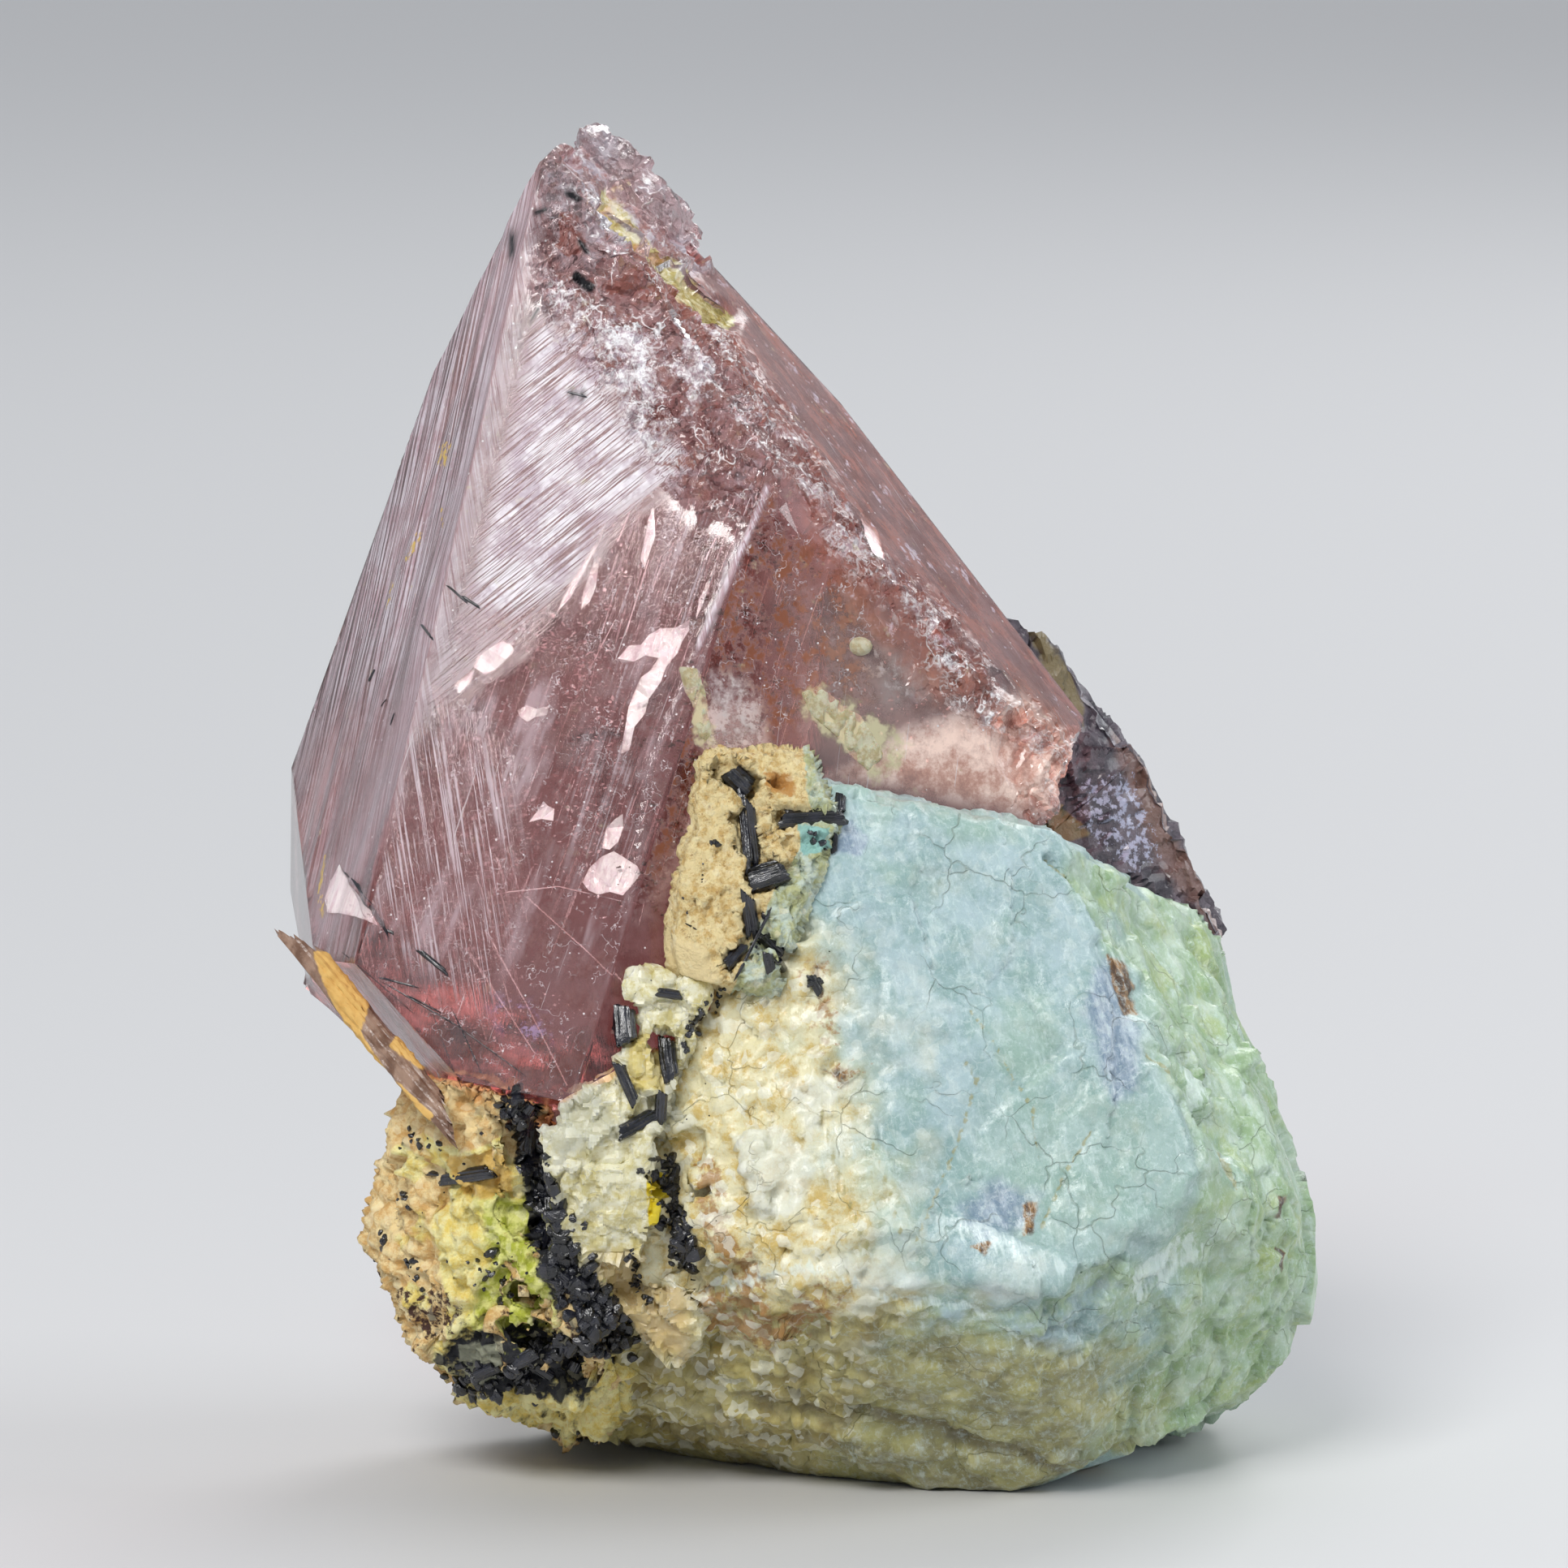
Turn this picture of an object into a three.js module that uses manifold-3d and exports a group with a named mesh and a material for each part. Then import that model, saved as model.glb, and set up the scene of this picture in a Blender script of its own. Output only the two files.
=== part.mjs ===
// Morganite crystal specimen: a steep pink beryl crystal on pale green feldspar, with a second, smoky crystal
// behind it, crusts of ochre clay and black tourmaline prisms. Millimetres, +Z up, the display side faces -Y,
// and the origin lies under the middle of the specimen, on the surface that it stands on.
import * as THREE from "three";
import { ConvexGeometry } from "three/addons/geometries/ConvexGeometry.js";
import { mergeVertices } from "three/addons/utils/BufferGeometryUtils.js";
import Module from "manifold-3d";

const wasm = await Module();
wasm.setup();

// ---- driving dimensions ------------------------------------------------------------------------------------
const seat = 0.25; // clearance left where two minerals meet
const block = 240; // edge of the raw blocks that half-spaces are made of, well over the specimen's size
const reliefRock = 0.42; // height of the broken relief on the feldspar
const reliefClay = 0.5; // and on the crumbly ochre clay

// ---- shapes ------------------------------------------------------------------------------------------------
const vector = (point) => new THREE.Vector3(...point);

// A closed three.js geometry as a solid for cutting and joining.
function solid(geometry) {
  const bare = geometry.clone();
  bare.deleteAttribute("normal");
  bare.deleteAttribute("uv");
  const merged = mergeVertices(bare, 1e-4);
  const index = merged.index.array;
  return new wasm.Manifold(
    new wasm.Mesh({
      numProp: 3,
      vertProperties: merged.attributes.position.array,
      triVerts: new Uint32Array(index),
    }),
  );
}

// The solid back as a three.js geometry with flat faces.
function geometryOf(body) {
  const mesh = body.getMesh();
  const positions = new Float32Array(mesh.numVert * 3);
  for (let i = 0; i < mesh.numVert; i++) {
    const start = i * mesh.numProp;
    positions.set(mesh.vertProperties.subarray(start, start + 3), i * 3);
  }
  const geometry = new THREE.BufferGeometry();
  geometry.setAttribute("position", new THREE.BufferAttribute(positions, 3));
  geometry.setIndex(new THREE.BufferAttribute(new Uint32Array(mesh.triVerts), 1));
  return geometry;
}

const join = (bodies) => bodies.reduce((whole, body) => whole.add(body));
const carve = (body, cuts) => cuts.reduce((whole, cut) => whole.subtract(cut), body);

// The largest body that is left when a cut has split off crumbs.
const largest = (body) => body.decompose().sort((a, b) => b.volume() - a.volume())[0];

// The plane through three points, facing away from the heart of the body that it bounds.
function face(points, heart) {
  const plane = new THREE.Plane().setFromCoplanarPoints(...points.map(vector));
  return plane.distanceToPoint(vector(heart)) > 0 ? plane.negate() : plane;
}

const turnTo = (way) => new THREE.Quaternion().setFromUnitVectors(new THREE.Vector3(0, 0, 1), way);

// Everything beyond a plane that is first moved outwards by grow.
function beyond(plane, grow = 0) {
  const geometry = new THREE.BoxGeometry(block, block, block).translate(0, 0, block / 2);
  geometry.applyQuaternion(turnTo(plane.normal));
  const foot = plane.normal.clone().multiplyScalar(grow - plane.constant);
  return solid(geometry.translate(foot.x, foot.y, foot.z));
}

// A crystal bounded by flat faces. With grow it is the seat that such a crystal needs in its neighbour.
function crystal({ heart, faces }, grow = 0) {
  const raw = solid(new THREE.BoxGeometry(block / 2, block / 2, block / 2));
  return carve(raw, Object.values(faces).map((points) => beyond(face(points, heart), grow)));
}

// Repeatable noise between -1 and 1 on a lattice, blended smoothly.
function noise(x, y, z, seed) {
  const corner = (i, j, k) => {
    const wave = Math.sin(i * 127.1 + j * 311.7 + k * 74.7 + seed * 53.3) * 43758.5453;
    return 2 * (wave - Math.floor(wave)) - 1;
  };
  const [i, j, k] = [x, y, z].map(Math.floor);
  const [a, b, c] = [x - i, y - j, z - k].map((t) => t * t * (3 - 2 * t));
  const { lerp } = THREE.MathUtils;
  const along = (p, q) => lerp(corner(i, p, q), corner(i + 1, p, q), a);
  const across = (q) => lerp(along(j, q), along(j + 1, q), b);
  return lerp(across(k), across(k + 1), c);
}

// How far a lump reaches from its heart: to the nearest of its faces, with the edges between them worn round.
function reachAlong(way, planes, distances, sharpness) {
  const pull = planes.reduce((sum, plane, n) => {
    const facing = Math.max(plane.normal.dot(way), 0);
    return sum + (facing / distances[n]) ** sharpness;
  }, 0);
  return pull ** (-1 / sharpness);
}

// A lump of rock or clay: a ball drawn out to broken faces, with a rough relief. With grow it is its seat.
function lump({ heart, faces, detail, sharpness, relief, grain, seed }, grow = 0) {
  const planes = Object.values(faces).map((points) => face(points, heart));
  const distances = planes.map((plane) => -plane.distanceToPoint(vector(heart)));
  const ball = new THREE.IcosahedronGeometry(1, detail);
  ball.deleteAttribute("normal");
  ball.deleteAttribute("uv");
  const geometry = mergeVertices(ball, 1e-4);
  const positions = geometry.attributes.position;
  for (let i = 0; i < positions.count; i++) {
    const way = new THREE.Vector3().fromBufferAttribute(positions, i).normalize();
    const spot = vector(heart).addScaledVector(way, reachAlong(way, planes, distances, sharpness));
    const [x, y, z] = spot.toArray().map((value) => value / grain);
    const rough = noise(x, y, z, seed) + 0.5 * noise(2.1 * x, 2.1 * y, 2.1 * z, seed + 1);
    spot.addScaledVector(way, relief * rough + grow);
    positions.setXYZ(i, spot.x, spot.y, spot.z);
  }
  return solid(geometry);
}

// A broken plate or shard: the hull of its corners.
const shard = (corners) => solid(new ConvexGeometry(corners.map(vector)));

// A thin growth on a crystal face: its outline points, that lie on the face, lifted off by the seat.
function film(points, heart, outline, thickness) {
  const { normal } = face(points, heart);
  const lifted = (height) => outline.map((at) => vector(at).addScaledVector(normal, height));
  const corners = [...lifted(seat), ...lifted(seat + thickness)];
  return solid(new ConvexGeometry(corners));
}

// The hollow that a flake of a given width and depth leaves in a face, at a point of that face.
function chip(points, heart, at, width, depth, long = 1) {
  const { normal } = face(points, heart);
  const radius = (width * width) / (8 * depth) + depth / 2;
  const geometry = new THREE.IcosahedronGeometry(radius, 1).rotateX(at[0]).rotateZ(at[2]).scale(1, long, 1);
  geometry.applyQuaternion(turnTo(normal));
  const centre = vector(at).addScaledVector(normal, radius - depth);
  return solid(geometry.translate(centre.x, centre.y, centre.z));
}

// A shallow trough with a V section along a line of points on a face, running out at both ends.
function groove(points, heart, line, width, depth) {
  const { normal } = face(points, heart);
  const run = vector(line.at(-1)).sub(vector(line[0]));
  const side = run.cross(normal).setLength(width / 2);
  const sections = line.map((at, n) => {
    const bottom = n === 0 || n === line.length - 1 ? 0 : depth;
    const top = vector(at).addScaledVector(normal, 0.4);
    return [vector(at).addScaledVector(normal, -bottom), top.clone().add(side), top.clone().sub(side)];
  });
  const stretches = sections.slice(1).map((section, n) => [...sections[n], ...section]);
  return join(stretches.map((corners) => solid(new ConvexGeometry(corners))));
}

// A tourmaline prism with a rounded many-sided section and bevelled ends. With grow it is its seat.
function prism({ from, to, width, sides = 9, bevelled = true }, grow = 0) {
  const [start, end] = [vector(from), vector(to)];
  const way = end.clone().sub(start).normalize();
  const length = start.distanceTo(end) + 2 * grow;
  const bevel = bevelled ? width * 0.14 : 0;
  const outline = Array.from({ length: sides }, (_, n) => {
    const angle = (n / sides) * 2 * Math.PI;
    const radius = (width / 2) * (sides === 9 && n % 3 !== 0 ? 0.88 : 1) + grow;
    return new THREE.Vector2(radius * Math.cos(angle), radius * Math.sin(angle));
  });
  const geometry = new THREE.ExtrudeGeometry(new THREE.Shape(outline), {
    depth: length - 2 * bevel,
    bevelEnabled: bevelled,
    bevelThickness: bevel,
    bevelSize: bevel,
    bevelOffset: -bevel,
    bevelSegments: 1,
    steps: 1,
  }).translate(0, 0, bevel);
  geometry.applyQuaternion(turnTo(way));
  const base = start.addScaledVector(way, -grow);
  return solid(geometry.translate(base.x, base.y, base.z));
}

// ---- the morganite crystal ----------------------------------------------------------------------------------
const morganiteForm = {
  heart: [-4, 1, 28],
  faces: {
    left: [[-9.7, -0.5, 47.0], [-13.1, -5.0, 32.5], [-16.7, 5.0, 30.4]],
    front_left: [[-9.7, -0.5, 47.0], [-13.1, -5.0, 32.5], [-6.2, -10.0, 21.4]],
    front_right: [[-1.5, -5.6, 35.9], [-6.2, -10.0, 21.4], [10.1, -2.5, 26.5]],
    right: [[-0.7, -4.5, 38.1], [10.1, -2.5, 26.5], [1.8, 6.0, 38.7]],
    left_girdle: [[-19.1, 8.0, 22.3], [-18.6, 4.0, 18.5], [-17.4, -6.5, 20.4]],
    lower_left: [[-17.4, -6.2, 20.4], [-12.4, -10.0, 16.0], [-14.4, -3.0, 14.7]],
    lower_back: [[-18.5, 1.0, 18.2], [-14.2, -3.2, 14.6], [-16.5, 9.0, 18.5]],
    root: [[-12.4, -10.0, 16.0], [-8.6, -10.0, 15.2], [-9.0, 6.0, 12.0]],
    lower_right: [[9.8, -3.5, 24.3], [-6.8, -10.0, 16.2], [4.0, 8.0, 19.0]],
    right_end: [[10.2, -2.0, 26.6], [9.5, -3.5, 25.2], [9.2, 6.0, 24.6]],
    back_left: [[-10.8, 4.2, 47.4], [-17.6, 6.7, 28.2], [-10.5, 11.5, 28.0]],
    back: [[-6.0, 6.0, 47.0], [-9.0, 10.8, 26.0], [2.0, 9.8, 28.0]],
    back_low: [[-9.0, 11.2, 25.0], [3.0, 10.8, 24.0], [-8.0, 9.0, 13.0]],
    back_right: [[1.8, 6.0, 38.7], [10.2, 3.0, 27.6], [3.0, 10.0, 28.0]],
    shoulder: [[-2.5, 6.0, 43.1], [1.0, 6.0, 39.6], [-3.5, 10.0, 41.0]],
    tip_left: [[-10.6, 3.0, 47.4], [-8.8, 0.5, 49.0], [-9.3, 6.0, 48.6]],
    tip: [[-8.8, 0.5, 49.1], [-7.4, 3.0, 49.5], [-6.6, 6.0, 48.8]],
  },
};
const { heart: morganiteHeart, faces: morganiteFaces } = morganiteForm;

// The crackled knob behind the tip, and the groove that parts it from the face in front.
const tipKnob = shard([
  [-8.0, 2.2, 49.5], [-7.4, 3.2, 49.6], [-6.2, 3.8, 48.9], [-5.0, 3.0, 47.6], [-3.5, 6.0, 45.3], [-3.7, 4.2, 44.9],
  [-5.4, 2.2, 46.4], [-4.2, 7.6, 45.6], [-6.8, 6.8, 48.2], [-7.0, 5.0, 43.5], [-8.4, 4.6, 48.4],
]);
const tipGroove = groove(
  morganiteFaces.right,
  morganiteHeart,
  [[-7.0, 0.9, 47.2], [-5.8, 1.5, 45.9], [-4.4, 1.9, 44.4], [-2.6, 3.0, 42.7]],
  1.3,
  0.5,
);

// Flakes broken from the faces: the crackled zone below the tip, the right-hand ridge and the broken end.
const onFace = (name) => (at, width, depth, long) =>
  chip(morganiteFaces[name], morganiteHeart, at, width, depth, long);
const flakes = [
  onFace("front_left")([-7.0, -0.9, 46.6], 2.2, 0.3, 1.6),
  onFace("front_left")([-5.6, -1.8, 44.0], 2.8, 0.4, 1.3),
  onFace("front_left")([-4.2, -2.9, 41.6], 3.0, 0.35, 1.3),
  onFace("front_left")([-3.6, -4.6, 38.6], 3.4, 0.3, 1.2),
  onFace("right")([-2.6, -2.6, 40.8], 3.0, 0.45, 1.3),
  onFace("right")([-0.7, -3.6, 38.4], 2.8, 0.4, 1.4),
  onFace("front_right")([0.3, -4.8, 36.4], 2.6, 0.35),
  onFace("right")([2.5, -3.8, 34.7], 2.4, 0.35, 1.5),
  onFace("front_right")([4.0, -3.8, 32.6], 2.4, 0.35, 1.2),
  onFace("right")([5.6, -3.0, 31.8], 2.0, 0.3, 1.3),
  onFace("right")([7.6, -2.6, 29.4], 2.4, 0.35, 1.5),
  onFace("front_right")([8.2, -2.9, 27.4], 2.4, 0.4, 1.2),
  onFace("right_end")([9.9, -2.6, 25.9], 2.4, 0.35),
  onFace("right_end")([9.8, 0.8, 26.0], 3.2, 0.45, 1.3),
];
const morganiteSeat = join([crystal(morganiteForm, seat), tipKnob]);
const morganite = largest(carve(join([crystal(morganiteForm), tipKnob]), [tipGroove, ...flakes]));

// ---- the smoky crystal behind it ----------------------------------------------------------------------------
const smokyForm = {
  heart: [6, 8, 22],
  faces: {
    front: [[11.2, 4.0, 23.8], [15.8, 5.0, 19.5], [9.5, 4.5, 29.0]],
    right_upper: [[10.4, 8.0, 28.3], [12.6, 8.0, 25.7], [10.8, 12.0, 27.0]],
    right_lower: [[12.8, 8.0, 25.7], [16.2, 6.0, 18.9], [14.0, 12.0, 22.5]],
    right_foot: [[16.2, 6.0, 18.9], [14.0, 6.0, 16.0], [15.4, 11.0, 18.4]],
    top: [[8.0, 6.0, 30.6], [10.3, 8.0, 28.3], [6.8, 12.0, 29.2]],
    summit: [[8.0, 6.0, 30.6], [1.0, 6.0, 31.8], [3.0, 12.0, 29.8]],
    back: [[8.0, 11.4, 26.0], [13.0, 11.2, 18.0], [-2.0, 11.8, 18.0]],
    left: [[-2.0, 8.0, 30.0], [-4.0, 8.0, 16.0], [-2.0, 12.0, 24.0]],
    root: [[-4.0, 6.0, 16.2], [16.0, 6.0, 16.8], [4.0, 12.0, 16.6]],
  },
};
const smokySeat = crystal(smokyForm, seat);
const smoky = largest(carve(crystal(smokyForm), [morganiteSeat]));

// ---- the tourmaline prisms ----------------------------------------------------------------------------------
const prisms = {
  schorl_barrel: [{ from: [-2.9, -8.9, 27.4], to: [-1.5, -9.1, 26.4], width: 1.15 }],
  schorl_upper: [{ from: [-2.2, -9.5, 25.7], to: [-1.4, -10.0, 23.9], width: 0.8 }],
  schorl_hub: [{ from: [-1.8, -10.4, 23.2], to: [0.2, -10.2, 23.7], width: 1.15 }],
  schorl_lower: [
    { from: [-1.9, -10.5, 22.3], to: [-1.3, -10.7, 20.9], width: 0.7 },
    { from: [-1.5, -10.5, 22.1], to: [-1.1, -10.8, 21.2], width: 0.6 },
  ],
  schorl_level: [{ from: [-0.8, -9.6, 25.5], to: [1.7, -9.0, 25.6], width: 0.85 }],
  schorl_stub: [{ from: [1.4, -8.6, 26.5], to: [1.9, -8.2, 27.1], width: 0.5 }],
  schorl_lodged: [{ from: [-0.9, -10.3, 21.0], to: [-0.3, -10.5, 20.2], width: 0.75 }],
  schorl_chip: [{ from: [-2.5, -10.9, 20.2], to: [-1.9, -10.8, 21.0], width: 0.5 }],
  schorl_speck: [{ from: [0.5, -10.3, 20.0], to: [0.8, -10.6, 19.3], width: 0.6 }],
  schorl_block: [{ from: [-6.3, -10.6, 19.0], to: [-6.2, -11.0, 17.6], width: 0.95 }],
  schorl_post: [{ from: [-5.0, -10.4, 17.7], to: [-4.7, -10.9, 16.4], width: 0.85 }],
  schorl_peg: [
    { from: [-6.5, -12.2, 14.5], to: [-4.7, -11.2, 15.3], width: 0.7 },
    { from: [-4.8, -11.2, 15.9], to: [-4.4, -11.0, 14.6], width: 0.8 },
  ],
  schorl_bar: [{ from: [-12.8, -9.6, 12.3], to: [-11.1, -10.2, 12.7], width: 0.7 }],
};
const allPrisms = Object.values(prisms).flat();
const prismSeats = allPrisms.map((sizes) => prism(sizes, seat));

// The rusty prism that lies against the crystal's lower left edge.
const coatedSize = { from: [-18.0, -6.5, 20.3], to: [-12.7, -10.6, 14.7], width: 0.95 };
const coatedSeat = prism(coatedSize, seat);

// Matted prisms fill the seams on both sides of the feldspar plates.
const seamLine = (points, width, tilt) =>
  points.map(([x, y, z], n) => {
    const lean = tilt[n % tilt.length];
    const half = width * 1.1;
    const from = [x - lean * half, y - 0.3 * half, z + half];
    const to = [x + lean * half, y + 0.5 * half, z - half];
    return { from, to, width: width * (n % 2 ? 1.15 : 0.9), sides: 6, bevelled: false };
  });
const leftSeam = seamLine(
  [
    [-10.0, -10.0, 15.1], [-9.3, -10.4, 14.3], [-9.9, -10.5, 13.1], [-9.2, -10.4, 12.0], [-9.3, -10.0, 10.9],
    [-8.6, -9.6, 9.9], [-9.2, -9.1, 9.0], [-7.9, -8.9, 8.2], [-8.6, -8.3, 7.2], [-7.0, -8.1, 6.6],
    [-6.3, -7.7, 5.9], [-8.2, -7.4, 5.7], [-9.7, -7.4, 5.6],
  ],
  1.15,
  [0.7, -0.5, 0.2, -0.9, 0.9],
);
const rightSeam = seamLine(
  [
    [-4.4, -10.4, 12.9], [-4.6, -10.5, 11.7], [-4.1, -10.4, 10.8], [-3.8, -10.2, 9.8], [-4.9, -10.2, 9.7],
    [-5.6, -10.0, 9.2],
  ],
  1.1,
  [-0.4, 0.3, -0.7],
);
const seamBody = (line, grow) => join(line.map((sizes) => prism(sizes, grow)));
const seamSeats = [seamBody(leftSeam, seat), seamBody(rightSeam, seat)];

// ---- the feldspar -------------------------------------------------------------------------------------------
const rockForm = {
  heart: [5, 0.5, 12],
  faces: {
    front: [[2.3, -7.5, 26.2], [8.6, -6.5, 24.9], [7.8, -13.0, 8.8]],
    front_left: [[1.4, -10.6, 19.8], [0.5, -13.0, 9.9], [-3.9, -10.8, 13.8]],
    right_front: [[9.7, -6.5, 24.0], [13.5, -9.0, 15.5], [17.2, 0.0, 14.9]],
    right: [[17.2, 0.0, 14.9], [19.1, 0.0, 8.2], [18.6, 8.0, 9.0]],
    right_lower: [[14.4, -9.0, 9.6], [15.6, -3.0, 1.9], [9.3, -12.8, 7.9]],
    right_foot: [[19.1, 0.0, 7.0], [18.3, 0.0, 3.4], [16.0, 8.0, 2.0]],
    heel: [[16.6, -2.0, 2.3], [10.0, -2.5, 0.0], [13.5, 4.5, 0.0]],
    under: [[0.5, -12.5, 8.4], [9.3, -12.8, 7.9], [5.6, -6.2, 0.0]],
    under_left: [[-3.3, -10.0, 8.3], [0.5, -12.5, 8.4], [0.5, -6.8, 1.2]],
    sole_left: [[4.6, -5.5, 0.0], [-9.0, 4.5, 0.0], [-2.5, -3.0, 1.1]],
    left: [[-4.8, -9.0, 13.8], [-9.8, 4.0, 13.0], [-9.0, -3.0, 1.5]],
    top: [[2.3, -7.5, 26.7], [8.6, -6.5, 25.4], [13.8, 0.0, 22.6]],
    top_back: [[13.8, 0.0, 22.1], [12.0, 8.0, 19.0], [-6.0, 10.0, 20.0]],
    back: [[5.0, 12.9, 8.0], [-4.0, 11.8, 9.0], [8.0, 12.2, 18.0]],
    back_right: [[17.5, 7.0, 8.0], [10.0, 12.4, 8.0], [13.0, 9.0, 17.0]],
    back_left: [[-8.5, 6.0, 8.0], [-3.0, 11.8, 8.0], [-7.5, 6.0, 18.0]],
    back_foot: [[5.0, 12.4, 5.0], [-3.0, 11.4, 5.0], [4.0, 8.5, -0.5]],
    base: [[0.0, 0.0, -1.5], [5.0, 0.0, -1.5], [5.0, 5.0, -1.5]],
  },
  detail: 9,
  sharpness: 40,
  relief: reliefRock,
  grain: 3.4,
  seed: 3,
};
const floorPlane = new THREE.Plane(new THREE.Vector3(0, 0, -1), 0);

// The thin crack along the foot, over a pale shell of rock.
const footCrack = shard([
  [-1.0, -11.0, 3.7], [5.0, -11.5, 2.9], [9.6, -10.5, 1.3], [9.4, -10.5, 1.0], [5.0, -11.5, 2.4],
  [-1.0, -11.0, 3.4], [3.5, -4.8, 2.3], [6.0, -4.8, 1.9],
]);
const rustyPit = shard([
  [11.4, -9.5, 20.2], [12.2, -9.4, 20.0], [12.7, -9.2, 18.4], [12.0, -9.6, 18.1], [11.9, -6.4, 19.3],
]);
const whiteKnot = lump({
  heart: [-1.1, -10.8, 13.0],
  faces: {
    front: [[-1.1, -12.2, 13.0], [-0.1, -12.0, 13.0], [-1.1, -12.0, 14.0]],
    left: [[-2.4, -11.0, 13.0], [-2.3, -11.6, 13.4], [-2.3, -11.0, 12.0]],
    right: [[0.3, -11.0, 13.0], [0.2, -11.8, 13.4], [0.3, -11.0, 12.0]],
    top: [[-1.1, -11.0, 14.4], [0.0, -11.4, 14.3], [-1.1, -10.2, 14.6]],
    bottom: [[-1.1, -11.0, 11.6], [0.0, -11.4, 11.6], [-1.1, -10.0, 11.7]],
    back: [[-1.1, -9.2, 13.0], [0.0, -9.2, 13.0], [-1.1, -9.2, 14.0]],
  },
  detail: 3,
  sharpness: 5,
  relief: 0.15,
  grain: 0.9,
  seed: 5,
});

// ---- the ochre clay -----------------------------------------------------------------------------------------
const clayForm = {
  heart: [-11, -2.5, 8.6],
  faces: {
    left: [[-15.8, -1.0, 9.0], [-14.9, -2.0, 13.0], [-15.3, 3.0, 9.0]],
    lower_left: [[-15.7, -1.0, 7.4], [-12.2, -1.0, 2.0], [-13.5, 4.0, 3.6]],
    bottom: [[-12.4, -1.0, 2.1], [-7.6, -2.0, 0.7], [-9.5, 4.0, 1.3]],
    front: [[-12.8, -8.8, 10.7], [-10.0, -10.9, 14.1], [-9.8, -8.9, 6.0]],
    front_left: [[-14.6, -6.0, 15.6], [-13.2, -8.6, 10.7], [-15.8, -4.0, 10.0]],
    front_low: [[-12.4, -8.2, 6.4], [-7.4, -8.0, 5.0], [-9.0, -3.0, 1.0]],
    right: [[-8.2, -11.0, 11.7], [-7.0, -9.5, 7.9], [-8.6, 3.0, 10.0]],
    right_low: [[-5.4, -8.0, 5.4], [-7.3, -2.0, 0.9], [-5.7, 2.0, 3.0]],
    top: [[-14.6, -5.0, 15.6], [-9.5, -9.5, 16.4], [-10.0, 4.0, 14.5]],
    back: [[-10.0, 5.0, 9.0], [-14.0, 3.8, 9.0], [-10.0, 4.5, 13.0]],
  },
  detail: 6,
  sharpness: 14,
  relief: reliefClay,
  grain: 1.8,
  seed: 11,
};
const crustForm = {
  heart: [-1.6, -8.4, 23.2],
  faces: {
    front: [[-2.0, -10.0, 24.5], [1.2, -9.4, 24.6], [-2.4, -11.4, 19.8]],
    left_upper: [[-3.5, -8.0, 27.4], [-3.9, -9.0, 25.0], [-3.6, -7.0, 26.6]],
    left_lower: [[-5.4, -9.0, 23.6], [-6.0, -10.0, 21.6], [-5.6, -7.0, 22.4]],
    top: [[-2.6, -8.0, 27.8], [0.4, -7.6, 27.9], [-1.0, -6.5, 27.9]],
    top_right: [[0.4, -8.6, 27.8], [1.6, -8.4, 25.6], [0.8, -6.6, 27.0]],
    right: [[1.5, -9.0, 25.8], [-0.2, -10.4, 20.6], [0.2, -8.0, 21.0]],
    bottom: [[-4.4, -10.5, 19.9], [-1.0, -10.8, 19.3], [-2.6, -8.0, 19.3]],
    bottom_left: [[-6.0, -10.0, 21.0], [-4.2, -10.6, 19.3], [-5.4, -8.0, 20.0]],
    back: [[-2.0, -6.0, 25.0], [0.0, -5.6, 25.0], [-2.0, -7.4, 20.0]],
  },
  detail: 4,
  sharpness: 20,
  relief: 0.28,
  grain: 1.2,
  seed: 23,
};

// ---- the albite plates --------------------------------------------------------------------------------------
const plates = [
  shard([
    [-6.6, -10.6, 19.6], [-4.9, -10.6, 20.0], [-3.4, -10.4, 19.6], [-3.8, -10.6, 17.2], [-5.0, -11.2, 16.2],
    [-6.3, -11.2, 16.6], [-5.6, -7.5, 19.0], [-3.8, -7.0, 19.2], [-5.6, -7.0, 15.5], [-3.8, -7.0, 15.5],
  ]),
  shard([
    [-8.4, -11.3, 16.4], [-6.9, -11.0, 17.2], [-4.4, -10.8, 16.6], [-4.4, -11.1, 14.5], [-6.0, -11.8, 13.8],
    [-8.6, -11.7, 14.6], [-8.0, -8.0, 16.0], [-4.6, -7.5, 16.0], [-8.0, -7.0, 13.5], [-4.6, -7.0, 13.5],
  ]),
  shard([
    [-9.5, -11.5, 14.5], [-8.0, -12.0, 14.3], [-5.2, -11.6, 14.2], [-4.9, -11.3, 11.5], [-5.4, -10.9, 9.4],
    [-8.5, -10.9, 9.9], [-8.6, -11.6, 12.0], [-7.6, -7.5, 13.8], [-5.4, -7.0, 13.8], [-7.0, -6.0, 9.8],
    [-5.0, -6.5, 9.6],
  ]),
  shard([
    [-7.7, -10.3, 9.7], [-5.4, -10.5, 9.8], [-3.4, -10.3, 9.0], [-3.4, -9.0, 6.4], [-4.6, -8.4, 5.0],
    [-6.0, -8.7, 6.4], [-6.6, -6.0, 9.4], [-4.2, -6.0, 9.0], [-5.4, -5.0, 6.5], [-4.2, -5.0, 5.4],
  ]),
];

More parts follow.
